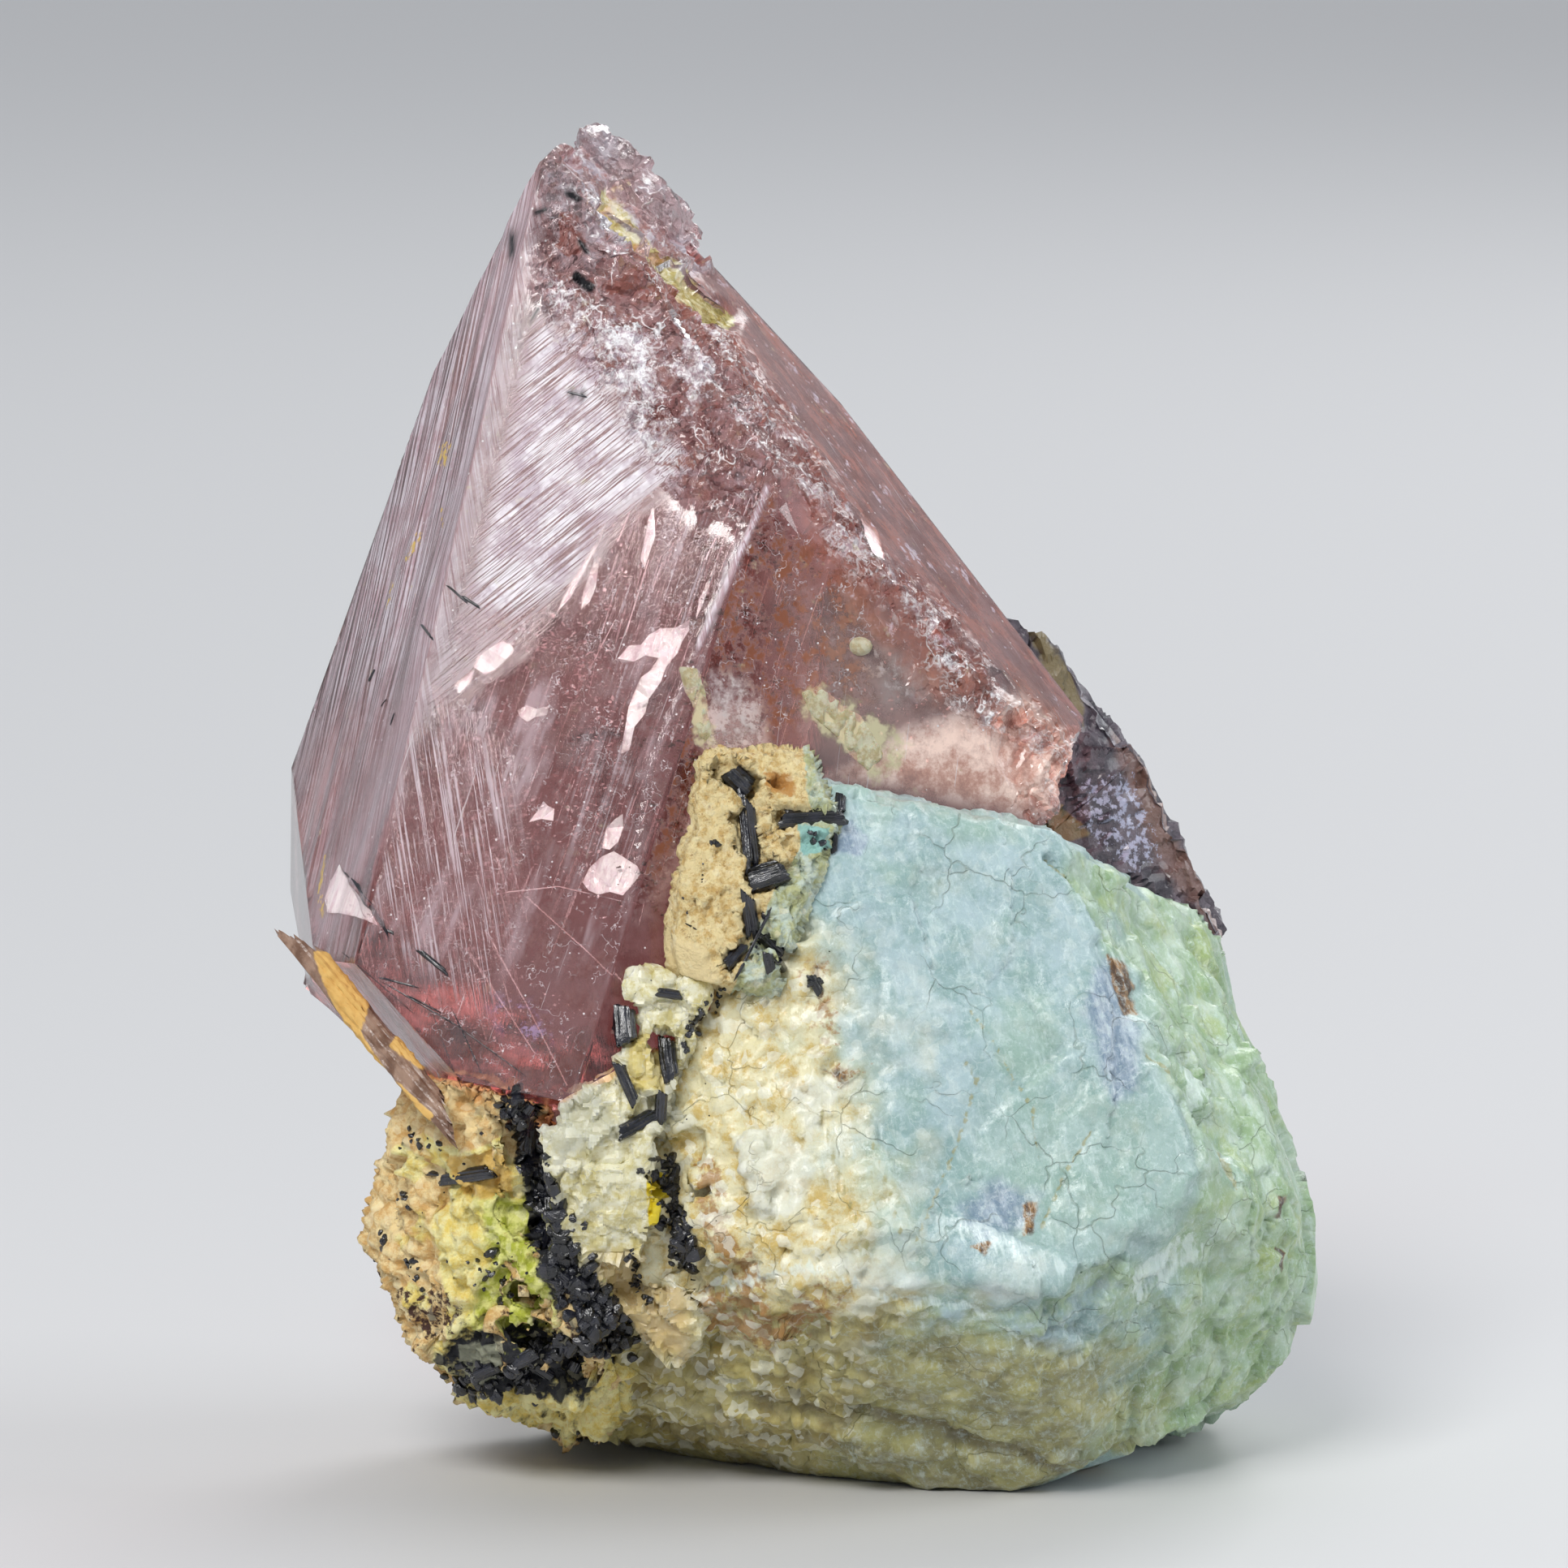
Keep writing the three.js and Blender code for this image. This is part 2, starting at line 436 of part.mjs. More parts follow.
// ---- the pale crusts on the crystal's right-hand face -------------------------------------------------------
const onRight = (outline, thickness) => film(morganiteFaces.front_right, morganiteHeart, outline, thickness);
const filmLeft = join([
  onRight([[-4.6, -7.7, 31.0], [-3.9, -7.4, 30.8], [-3.4, -7.4, 29.9], [-3.7, -7.7, 29.0], [-4.3, -7.7, 30.0]], 0.3),
  onRight([[-3.9, -7.6, 30.0], [-3.3, -7.4, 29.9], [-3.1, -7.5, 28.3], [-3.4, -7.8, 27.9], [-3.8, -7.7, 28.9]], 0.3),
]);
const filmRight = join([
  onRight([[0.1, -6.0, 29.6], [0.8, -5.7, 29.8], [1.6, -5.5, 29.2], [1.9, -5.7, 27.5], [0.5, -6.0, 28.8]], 0.35),
  onRight([[1.4, -5.6, 29.2], [2.3, -5.3, 28.7], [3.2, -5.2, 27.2], [2.6, -5.5, 26.6], [1.8, -5.7, 27.4]], 0.3),
]);
const bead = solid(new THREE.IcosahedronGeometry(0.42, 1).scale(1.2, 0.8, 0.9).translate(2.4, -5.15, 31.2));

// ---- the part -----------------------------------------------------------------------------------------------
const part = new THREE.Group();
function piece(name, body, colour, roughness) {
  const material = new THREE.MeshStandardMaterial({ color: colour, roughness, metalness: 0 });
  const mesh = new THREE.Mesh(geometryOf(body), material);
  mesh.name = name;
  part.add(mesh);
}

const crystalSeats = [morganiteSeat, smokySeat];
const rockSeats = [...crystalSeats, ...prismSeats, coatedSeat, ...seamSeats];
const rock = largest(
  carve(join([lump(rockForm), whiteKnot]), [beyond(floorPlane), footCrack, rustyPit, ...rockSeats]),
);
const rockSeat = lump(rockForm, seat);
const crust = largest(carve(lump(crustForm), [rockSeat, ...rockSeats]));
const crustSeat = lump(crustForm, seat);
const clay = largest(carve(lump(clayForm), [rockSeat, ...rockSeats]));
const claySeat = lump(clayForm, seat);
const plate = largest(carve(join(plates), [rockSeat, crustSeat, claySeat, ...rockSeats]));

piece("morganite_crystal", morganite, "#c08079", 0.1);
piece("smoky_crystal", smoky, "#5a4b4b", 0.2);
piece("feldspar_rock", rock, "#bcd0b8", 0.6);
piece("albite_plates", plate, "#d9cf9a", 0.5);
piece("ochre_clay", clay, "#cbb46a", 0.9);
piece("ochre_crust", crust, "#d3bb78", 0.9);
piece("coated_prism", largest(carve(prism(coatedSize), crystalSeats)), "#8a6a4a", 0.6);
piece("schorl_seam_left", largest(carve(seamBody(leftSeam, 0), [morganiteSeat, coatedSeat])), "#17161a", 0.3);
piece("schorl_seam_right", largest(carve(seamBody(rightSeam, 0), [morganiteSeat])), "#17161a", 0.3);
for (const [name, sizes] of Object.entries(prisms)) {
  const body = join(sizes.map((size) => prism(size)));
  piece(name, largest(carve(body, [morganiteSeat])), "#141317", 0.2);
}
piece("pale_film_left", filmLeft, "#c9c795", 0.6);
piece("pale_film_right", filmRight, "#c9c795", 0.6);
piece("pale_bead", largest(carve(bead, [morganiteSeat])), "#c9b98a", 0.5);

export default part;
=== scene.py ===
import math
import random
from functools import reduce
from itertools import product

import bpy
import numpy as np
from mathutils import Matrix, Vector
from mathutils.bvhtree import BVHTree


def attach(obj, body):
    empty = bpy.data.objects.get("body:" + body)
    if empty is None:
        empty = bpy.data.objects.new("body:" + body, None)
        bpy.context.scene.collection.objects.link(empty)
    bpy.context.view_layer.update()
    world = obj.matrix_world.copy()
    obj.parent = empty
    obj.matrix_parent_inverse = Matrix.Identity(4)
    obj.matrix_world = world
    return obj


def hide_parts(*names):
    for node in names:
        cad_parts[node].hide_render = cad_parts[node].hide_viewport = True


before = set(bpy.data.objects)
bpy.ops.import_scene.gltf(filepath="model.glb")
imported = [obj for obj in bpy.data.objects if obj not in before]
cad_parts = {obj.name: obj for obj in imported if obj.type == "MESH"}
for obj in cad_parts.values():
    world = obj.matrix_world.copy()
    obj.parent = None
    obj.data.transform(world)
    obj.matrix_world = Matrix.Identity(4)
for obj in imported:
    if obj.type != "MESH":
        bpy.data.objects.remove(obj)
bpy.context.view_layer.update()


# ---------------------------------------------------------------------------------------------
# Feldspar rock. A cleaved lump of pale blue-green feldspar that turns yellow-green on the right
# and sugary cream on the left, with blue-grey and rusty stains. It carries everything else.
# ---------------------------------------------------------------------------------------------

def only(piece):
    """The next operators act on this piece alone."""
    bpy.ops.object.select_all(action="DESELECT")
    piece.select_set(True)
    bpy.context.view_layer.objects.active = piece


def new_piece(name, data):
    piece = bpy.data.objects.new(name, data)
    bpy.context.scene.collection.objects.link(piece)
    return piece


def on_all_faces(piece, work, **settings):
    """Runs one mesh operator on the whole piece."""
    only(piece)
    bpy.ops.object.mode_set(mode="EDIT")
    bpy.ops.mesh.select_all(action="SELECT")
    work(**settings)
    bpy.ops.object.mode_set(mode="OBJECT")


def rough_out(name, node):
    """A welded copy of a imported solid, ready to be worked, which stands in its place."""
    piece = new_piece(name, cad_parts[node].data.copy())
    piece.data.materials.clear()
    only(piece)
    bpy.ops.mesh.customdata_custom_splitnormals_clear()
    on_all_faces(piece, bpy.ops.mesh.remove_doubles, threshold=2e-6)
    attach(piece, "root")
    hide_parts(node)
    return piece


def knead(piece, grain):
    """Rebuilds the piece in even facets of this size in mm, so that fine relief can be pushed in."""
    only(piece)
    voxels = piece.modifiers.new("voxels", "REMESH")
    voxels.mode, voxels.voxel_size, voxels.adaptivity = "VOXEL", grain / 1000, 0
    bpy.ops.object.modifier_apply(modifier=voxels.name)


def smooth(piece, degrees=None):
    """Smooth shading, everywhere or only across ridges flatter than this."""
    only(piece)
    if degrees:
        bpy.ops.object.shade_smooth_by_angle(angle=math.radians(degrees))
    else:
        bpy.ops.object.shade_smooth()


def numbers(items, what, wide=3, kind=float):
    """One property of all the items, one row each."""
    found = np.empty(len(items) * wide, kind)
    items.foreach_get(what, found)
    return found.reshape(-1, wide) if wide > 1 else found


def spots(piece):
    """Where every vertex lies, in mm."""
    return numbers(piece.data.vertices, "co") * 1000


def outward(piece):
    """Which way the skin faces at every vertex."""
    return numbers(piece.data.vertices, "normal")


def settle(piece, places):
    """Moves every vertex to its new place, in mm."""
    piece.data.vertices.foreach_set("co", (places / 1000).ravel())
    piece.data.update()


def ease(value, low, high):
    """0 at low, 1 at high, with soft ends."""
    t = np.clip((value - low) / (high - low), 0, 1)
    return t * t * (3 - 2 * t)


def swell(places, size, seed, kinds=14):
    """Uneven swelling between about -1 and 1 in lumps of this size in mm."""
    dice = np.random.default_rng(seed)
    way = dice.normal(size=(kinds, 3))
    way /= np.linalg.norm(way, axis=1)[:, None]
    pitch = math.tau / (size * dice.uniform(1.1, 2.6, kinds))
    return (
        np.cos(places @ way.T * pitch + dice.uniform(0, math.tau, kinds)).sum(1) * math.sqrt(2 / kinds) / 1.6)


def grains(places, size, seed):
    """Packed grains: how far each place is from its grain's heart and from the next one, in grain
    sizes, with three dice of its own for every grain and the heart itself."""
    cell = np.floor(places / size)
    near, next_ = np.full(len(places), 9.0), np.full(len(places), 9.0)
    dice, heart = np.zeros((len(places), 3)), np.zeros((len(places), 3))
    for step in product((-1, 0, 1), repeat=3):
        at = cell + step
        toss = np.stack([np.sin(at @ np.array(k) + seed * 12.7) * 43758.5453 for k in
                         ((127.1, 311.7, 74.7), (269.5, 183.3, 246.1), (113.5, 271.9, 124.6))], 1)
        toss -= np.floor(toss)
        middle = (at + toss) * size
        far = np.linalg.norm(places - middle, axis=1) / size
        closer = far < near
        next_ = np.where(closer, near, np.minimum(next_, far))
        dice[closer], heart[closer] = toss[closer], middle[closer]
        near = np.where(closer, far, near)
    return near, next_, dice, heart


def pebbles(places, size, seed):
    """Rounded grains side by side, 0 in the joints and 1 on top."""
    near, next_, dice, _ = grains(places, size, seed)
    return ease(next_ - near, 0, 0.35) * (0.45 + 0.55 * dice[:, 0])


def flakes(places, size, seed, tilt=0.35):
    """Broken facets, each a small tilted plane, in mm."""
    _, _, dice, heart = grains(places, size, seed)
    lean = (dice - 0.5) * 2 * tilt
    return ((places - heart) * lean).sum(1) + (dice[:, 1] - 0.5) * size * tilt


# The front view: where its eye stands and how it looks, in mm, then its middle, the size of one of
# its steps, and how far off the plane is on which the steps have that size.
EYE, AHEAD, UP = (np.array([-0.48, -396.1, 81.1]), np.array([0, 0.99025, -0.13925]),
                  np.array([0, 0.13925, 0.99025]))
MIDDLE, STEP, FAR = 966, 0.03, 400


def front(places):
    """The front view's own two measures: steps to the right and down from its corner."""
    away = places - EYE
    deep = away @ AHEAD
    return MIDDLE + away[:, 0] / deep * FAR / STEP, MIDDLE - (away @ UP) / deep * FAR / STEP


def solid_tree(*pieces):
    """The closed skins of these pieces, to lay small things on, in mm."""
    corners, sides = [], []
    for piece in pieces:
        start = len(corners)
        corners += [v.co * 1000 for v in piece.data.vertices]
        sides += [[start + i for i in p.vertices] for p in piece.data.polygons]
    return BVHTree.FromPolygons(corners, sides)


def lay(tree, u, v):
    """The place and the slope of the skin behind a point of the front view, or None beside it."""
    way = Vector(AHEAD) * FAR + Vector((1, 0, 0)) * (u - MIDDLE) * STEP + Vector(UP) * (MIDDLE - v) * STEP
    place, slope, _, _ = tree.ray_cast(Vector(EYE), way.normalized())
    return (place, slope) if place else None


def reach_of(uv, line):
    """How many steps of the front view lie between each place and a line."""
    u, v = uv
    reach = np.full(len(u), 1e9)
    for (u0, v0), (u1, v1) in zip(line, line[1:]):
        right, down = u1 - u0, v1 - v0
        along = np.clip(((u - u0) * right + (v - v0) * down) / (right ** 2 + down ** 2), 0, 1)
        reach = np.minimum(reach, np.hypot(u - u0 - along * right, v - v0 - along * down))
    return reach


def patch(uv, outline, soft):
    """1 inside an outline of the front view and 0 outside it, with an edge that is soft steps wide."""
    u, v = uv
    inside, closed = np.zeros(len(u), bool), outline + outline[:1]
    for (u0, v0), (u1, v1) in zip(closed, closed[1:]):
        if v0 != v1:
            crossed = (v0 > v) != (v1 > v)
            inside ^= crossed & (u < u0 + (v - v0) / (v1 - v0) * (u1 - u0))
    reach = reach_of(uv, closed)
    return ease(np.where(inside, reach, -reach), -soft / 2, soft / 2)


def stroke(uv, line, wide, soft=6):
    """1 along a line of the front view that is wide steps broad."""
    return 1 - ease(reach_of(uv, line), wide / 2 - soft / 2, wide / 2 + soft / 2)


def stain(piece, name, red, green=0.0, blue=0.0, alpha=0.0):
    """Keeps four masks on the skin under one name."""
    layer = piece.data.color_attributes.new(name, "FLOAT_COLOR", "POINT")
    every = np.ones(len(piece.data.vertices))
    layer.data.foreach_set("color", np.stack([every * m for m in (red, green, blue, alpha)], 1).ravel())


def meet(piece, nodes, reach=0.55, by=0.34):
    """Presses the piece against its neighbours, which it has grown round."""
    tree = solid_tree(*(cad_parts[n] for n in nodes))
    places, way = spots(piece), outward(piece)
    for i, place in enumerate(places):
        near, slope, _, far = tree.find_nearest(Vector(place), reach)
        if near is not None and Vector(way[i]).dot(slope) < 0:
            places[i] += way[i] * by * (1 - (far / reach) ** 4)
    settle(piece, places)


feldspar_rock = rough_out("rock", "feldspar_rock")
skin = solid_tree(feldspar_rock)
corners, sides = [], []
sunk, deep = Vector(AHEAD) * 0.35, Vector(AHEAD) * 6.5
for i, (u, v) in enumerate([(925, 1728), (960, 1735), (1010, 1742), (1060, 1752), (1110, 1762), (1160, 1774),
                            (1210, 1784), (1260, 1792), (1300, 1798)]):
    upper, lower = (lay(skin, u, v + step)[0] + sunk for step in (-24, 14))
    corners += [c / 1000 for c in (upper, lower, lower + deep, upper + deep)]
    ring = [(4 * i + k, 4 * i + (k + 1) % 4) for k in range(4)]
    sides += [[a, b, b - 4, a - 4] for a, b in ring] if i else [[0, 1, 2, 3]]
sides.append([len(corners) - 1 - k for k in range(4)])
crack_filling = new_piece("crack_filling", bpy.data.meshes.new("crack_filling"))
crack_filling.data.from_pydata(corners, [], sides)
on_all_faces(crack_filling, bpy.ops.mesh.normals_make_consistent, inside=False)
feldspar_rock.select_set(True)
bpy.context.view_layer.objects.active = feldspar_rock
bpy.ops.object.join()
knead(feldspar_rock, 0.2)
meet(feldspar_rock, ["morganite_crystal", "smoky_crystal", "ochre_clay", "albite_plates"])

place, way = spots(feldspar_rock), outward(feldspar_rock)
uv = front(place)
x, _, z = place.T
seen = ease(-(way @ AHEAD), -0.05, 0.25)
wander = 34 * swell(place, 1.8, 15) + 20 * swell(place, 0.7, 16)
sugary = ease(
    2.0 + 2.6 * swell(place, 5.0, 11) + 1.4 * swell(place, 1.5, 18) + 0.12 * (z - 14) - x, -2.2, 2.8)
SUGARY = [(640, 1560), (760, 1200), (860, 1110), (1000, 1130), (1040, 1230), (1060, 1330), (1040, 1420),
          (1085, 1500), (1120, 1570), (1070, 1620), (1090, 1700), (1010, 1840), (640, 1840)]
sugary = (1 - seen) * sugary + seen * patch((uv[0] + wander, uv[1] + 0.6 * wander), SUGARY, 190)
sugary = np.maximum(
    sugary, 0.42 * seen * patch((uv[0] + wander, uv[1]),
                                [(1000, 1230), (1095, 1250), (1120, 1330), (1110, 1430), (1010, 1440)], 120))
sugary *= 1 - ease(z, 21, 23.5)
ledge = (seen * ease(uv[1] - 1590 - 0.10 * (1300 - uv[0]) + 0.30 * np.maximum(uv[0] - 1380, 0)
                     + 22 * swell(place, 2.5, 12), -15, 15))
right = np.maximum(
    ease(uv[0] - np.interp(uv[1], [1000, 1180, 1340, 1450, 1600, 1800], [1290, 1395, 1440, 1520, 1480, 1340])
         + 20 * swell(place, 1.6, 13), -40, 50) * seen,
    ease(x + 1.6 * swell(place, 3.0, 17), 12.5, 17))
knot = patch(uv, [(900, 1400), (960, 1385), (1005, 1440), (985, 1495), (930, 1500)], 18) * seen
relief = 0.16 * swell(place, 5, 1) + 0.05 * swell(place, 1.6, 2)
relief += (sugary * (0.20 * pebbles(place, 1.25, 3) - 0.12 + 0.6 * flakes(place, 1.3, 5, 0.4)
                     + 0.6 * flakes(place, 0.65, 4, 0.55)))
relief += ((1 - sugary)
           * (0.75 * flakes(place * (1, 1, 0.55), 3.4, 6, 0.14)
              + 0.4 * flakes(place * (1, 1, 0.6), 1.5, 7, 0.14) + 0.25 * flakes(place, 0.7, 19, 0.16)))
relief += (right * seen * (0.10 * swell(place @ np.array([[0.9, 0, 0.3], [0, 1, 0], [0.1, 0, 0.25]]), 0.9, 8)
                           + flakes(place * (1, 1, 0.5), 1.6, 9, 0.16)))
relief += ledge * (0.16 * flakes(place * (0.35, 1, 1), 1.3, 10, 0.8) + 0.3 * flakes(place, 0.8, 20, 0.3))
relief += knot * (0.20 + 0.5 * flakes(place, 0.6, 14, 0.5))
relief -= (0.45 * seen * (stroke(uv, [(1296, 1053), (1330, 1085), (1372, 1150)], 12)
                          + 0.8 * stroke(uv, [(1362, 1165), (1385, 1190), (1400, 1240)], 30, 18)))
relief -= (0.12 * seen * (stroke(uv, [(1190, 1310), (1204, 1330), (1182, 1408), (1155, 1469), (1128, 1530)],
                                 7) + stroke(uv, [(1192, 1243), (1271, 1365), (1278, 1430)], 6)
                          + stroke(uv, [(1345, 1390), (1284, 1512)], 7)
                          + stroke(uv, [(1412, 1298), (1473, 1365), (1529, 1463)], 8)
                          + stroke(uv, [(1010, 1360), (1030, 1440), (1070, 1540)], 10)
                          + stroke(uv, [(1480, 1500), (1420, 1560), (1330, 1610), (1200, 1620)], 9)))
CREVICE = [(925, 1732), (960, 1738), (1060, 1752), (1160, 1774), (1230, 1790), (1300, 1812)]
relief -= 0.32 * seen * stroke((uv[0] + 0.4 * wander, uv[1] + 0.2 * wander), CREVICE, 20, 22)
for outline, rise, lean in [
    ([(1300, 1050), (1372, 1090), (1460, 1150), (1510, 1260), (1540, 1400), (1480, 1440), (1440, 1340),
      (1395, 1190), (1335, 1100)], -0.22, 0.0),
    ([(1160, 1485), (1330, 1555), (1300, 1600), (1170, 1575)], 0.14, 0.003),
    ([(1335, 1612), (1425, 1560), (1505, 1508), (1520, 1560), (1400, 1650)], 0.16, -0.002),
    ([(1185, 1645), (1300, 1665), (1280, 1725), (1170, 1700)], 0.12, 0.002),
    ([(1200, 1200), (1290, 1370), (1210, 1480), (1110, 1440), (1090, 1260)], 0.10, -0.001),
    ([(1295, 1380), (1425, 1300), (1500, 1420), (1420, 1530), (1300, 1500)], 0.12, 0.001),
    ([(1010, 1350), (1080, 1390), (1120, 1520), (1040, 1540)], 0.14, 0.002),
    ([(1010, 985), (1180, 990), (1265, 1020), (1180, 1012), (1030, 1003)], 0.12, 0.0)]:
    relief += (seen * patch((uv[0] + 0.25 * wander, uv[1]), outline, 9)
               * (rise + lean * (uv[0] - outline[0][0])))
settle(feldspar_rock, place + way * (relief * (0.25 + 0.75 * ease(z, 0.1, 1.2)))[:, None])
place = spots(feldspar_rock)
place[:, 2] = np.maximum(place[:, 2], 0)
settle(feldspar_rock, place)
smooth(feldspar_rock)

grey_blue = patch(
    uv, [(1345, 1195), (1372, 1175), (1395, 1250), (1405, 1340), (1370, 1360), (1335, 1250)], 40)
grey_blue += 0.75 * patch(uv, [(1180, 1485), (1230, 1450), (1285, 1470), (1275, 1510), (1200, 1530)], 36)
grey_blue += patch(uv, [(1026, 1050), (1034, 1015), (1052, 1008), (1072, 1030), (1062, 1054)], 10)
grey_blue *= seen
rust = (seen * (patch(uv, [(1368, 1170), (1392, 1185), (1412, 1245), (1385, 1250)], 14)
                + patch(uv, [(1262, 1480), (1278, 1480), (1276, 1522), (1262, 1520)], 14)
                + patch(uv, [(1195, 1535), (1222, 1528), (1215, 1550)], 10)
                + 0.7 * patch(uv, [(1010, 1318), (1050, 1312), (1040, 1340)], 14)
                + patch(uv, [(1578, 1470), (1590, 1475), (1586, 1500)], 8)
                + patch(uv, [(1582, 1540), (1594, 1545), (1590, 1580)], 8)))
rust_dust = (sugary * seen * (stroke(uv, [(1010, 1200), (1050, 1290), (1060, 1330)], 70, 70)
                              + stroke(uv, [(870, 1440), (880, 1520), (930, 1580)], 40, 40)
                              + stroke(uv, [(860, 1610), (960, 1640), (1020, 1600)], 60, 60))
             + 0.25 * sugary * (1 - seen))
# Milky pale patches on the front; those along the ledge are painted glints.
white = (seen * (knot + patch(uv, [(960, 1330), (1035, 1340), (1000, 1400)], 40)
                 + patch(uv, [(1060, 1200), (1180, 1230), (1150, 1330), (1020, 1330)], 120) * 0.5
                 + patch(uv, [(1000, 1545), (1100, 1550), (1200, 1600), (1090, 1610)], 30) * 0.7
                 + patch(uv, [(1200, 1560), (1290, 1540), (1280, 1600), (1200, 1610)], 20) * 0.5))
# Olive-brown below the ledge and on the faces turned down; on the downward faces it is painted shade.
under = np.maximum(ledge * ease(uv[1], 1600, 1700) * ease(1500 - uv[0], -80, 300),
                   ease(-way[:, 2], 0.35, 0.8) * ease(9 - x, -4, 6))
veins = np.clip(seen * (stroke(uv, [(1190, 1310), (1204, 1330), (1182, 1408), (1155, 1469), (1128, 1530)], 4,
                               6) + stroke(uv, [(1192, 1243), (1230, 1290), (1271, 1365), (1278, 1430)], 3, 6)
                        + stroke(uv, [(1345, 1390), (1310, 1450), (1284, 1512)], 4, 6)
                        + stroke(uv, [(1412, 1298), (1473, 1365), (1529, 1463)], 4, 6)
                        + stroke(uv, [(1010, 1360), (1030, 1440), (1070, 1540)], 5, 8)
                        + stroke(uv, [(1070, 1400), (1110, 1520)], 3, 6)
                        + stroke(uv, [(1296, 1053), (1330, 1085), (1372, 1150)], 5, 8)), 0, 1)
# Painted highlights: pale patches and strokes where the cleavage facets along the ledge glint.
painted_glint = 0.8 * patch(uv, [(1160, 1480), (1200, 1500), (1320, 1560), (1300, 1580), (1180, 1530)], 16)
painted_glint = np.clip(seen * (painted_glint + patch(uv, [(1390, 1570), (1470, 1520), (1500, 1540), (1400, 1620)], 18)
                         + stroke(uv, [(870, 1590), (1000, 1560), (1080, 1590)], 14, 14)
                         + stroke(uv, [(1090, 1600), (1200, 1615), (1280, 1660)], 10, 14)
                         + stroke(uv, [(1380, 1740), (1450, 1680)], 4, 6)
                         + stroke(uv, [(1460, 1300), (1480, 1380)], 12, 12)), 0, 1)
stain(feldspar_rock, "hues", sugary, right, np.clip(grey_blue, 0, 1), np.clip(rust, 0, 1))
stain(feldspar_rock, "marks", np.clip(rust_dust, 0, 1), np.clip(white, 0, 1), under, ledge)
# The fourth lines mask is painted shade: a dark stroke along the crevice under the lower lip.
stain(feldspar_rock, "lines", veins, painted_glint, np.maximum(
          ease(x, 9, 15), seen * patch(uv, [(1230, 1330), (1440, 1340), (1540, 1460), (1480, 1560),
                                            (1280, 1560), (1200, 1440)], 120)),
      seen * stroke((uv[0] + 0.4 * wander, uv[1] + 0.2 * wander), CREVICE, 8, 12))


# The shader helpers work in the tree that is open, and where holds its Object coordinates.
def give(node, **sockets):
    """Sets or links a node's sockets, by name or by number. A colour is written as red, green, blue."""
    for name, value in sockets.items():
        socket = node.inputs[int(name[1:])] if name[1:].isdigit() else node.inputs[name.replace("_", " ")]
        if isinstance(value, bpy.types.NodeSocket):
            tree.links.new(value, socket)
        else:
            socket.default_value = (*value, 1) if socket.type == "RGBA" else value


def put(kind, settings=None, **sockets):
    """One shader node in the tree that is open, with its settings and its sockets."""
    node = tree.nodes.new("ShaderNode" + kind)
    for name, value in (settings or {}).items():
        setattr(node, name, value)
    give(node, **sockets)
    return node


def sums(operation, a, b=0.5, limit=False):
    return put("Math", {"operation": operation, "use_clamp": limit}, i0=a, i1=b).outputs[0]


def times(*values):
    return reduce(lambda a, b: sums("MULTIPLY", a, b), values)


def plus(a, b, limit=False):
    return sums("ADD", a, b, limit)


def less(a, b):
    return sums("SUBTRACT", a, b)


def most(a, b):
    return sums("MAXIMUM", a, b)


def rest(mask):
    """What a mask leaves out."""
    return sums("SUBTRACT", 1.0, mask)


def vectors(operation, *values):
    return put("VectorMath", {"operation": operation},
               **{"i%d" % i: v for i, v in enumerate(values)}).outputs[0]


def between(value, low, high):
    """0 at low, 1 at high, with soft ends."""
    return put(
        "MapRange", {"interpolation_type": "SMOOTHSTEP"}, Value=value, From_Min=low, From_Max=high).outputs[0]


def graded(value, low, high, start=0.0, stop=1.0):
    """Low at start, high at stop, evenly between them."""
    return put("MapRange", Value=value, From_Min=start, From_Max=stop, To_Min=low, To_Max=high).outputs[0]


def tinted(under, over, mask):
    return put("Mix", {"data_type": "RGBA"}, i0=mask, i6=under, i7=over).outputs[2]


def cloud(size, detail=3.0, rough=0.55, at=None):
    """Cloudy noise in lumps of this size in mm."""
    at = where if at is None else at
    return put("TexNoise", Vector=at, Scale=1000 / size, Detail=detail, Roughness=rough).outputs["Fac"]


def bump(shader, height, strength, deep):
    give(shader, Normal=put("Bump", Strength=strength, Distance=deep, Height=height).outputs[0])


def masks(name):
    """The four masks kept on the skin under this name."""
    kept = put("Attribute", {"attribute_name": name})
    parts = put("SeparateColor", Color=kept.outputs["Color"])
    return [*parts.outputs[:3], kept.outputs["Alpha"]]


def finish_of(name):
    """A new material, with its tree to open, its Principled shader and Object coordinates."""
    made = bpy.data.materials.new(name)
    made.use_nodes = True
    nodes = made.node_tree.nodes
    return made, made.node_tree, nodes["Principled BSDF"], nodes.new("ShaderNodeTexCoord").outputs["Object"]


def group(name, takes, gives):
    """A new shader group: its tree to open, what it takes in and what it gives out."""
    made = bpy.data.node_groups.new(name, "ShaderNodeTree")
    for label, value in takes.items():
        kind = "NodeSocketVector" if value is None else "NodeSocketFloat"
        socket = made.interface.new_socket(label, in_out="INPUT", socket_type=kind)
        if value is not None:
            socket.default_value = value
    for label in gives:
        made.interface.new_socket(label, in_out="OUTPUT", socket_type="NodeSocketFloat")
    return made, made.nodes.new("NodeGroupInput").outputs, made.nodes.new("NodeGroupOutput").inputs


def placed(made, **sockets):
    """A group placed in the open tree with its own values."""
    node = put("Group")
    node.node_tree = made
    give(node, **sockets)
    return node.outputs


tree, taken, given = group("ragged_edge",
                           {"Mask": 0.0, "Where": None, "Size": 1000.0, "Fray": 0.6, "Soft": 0.14}, ["Mask"])
ragged = tree
break_up = put(
    "TexNoise", Vector=taken["Where"], Scale=taken["Size"], Detail=3.0, Roughness=0.65).outputs["Fac"]
edge = plus(taken["Mask"], times(less(break_up, 0.5), taken["Fray"]))
tree.links.new(between(edge, less(0.5, taken["Soft"]), plus(0.5, taken["Soft"])), given["Mask"])

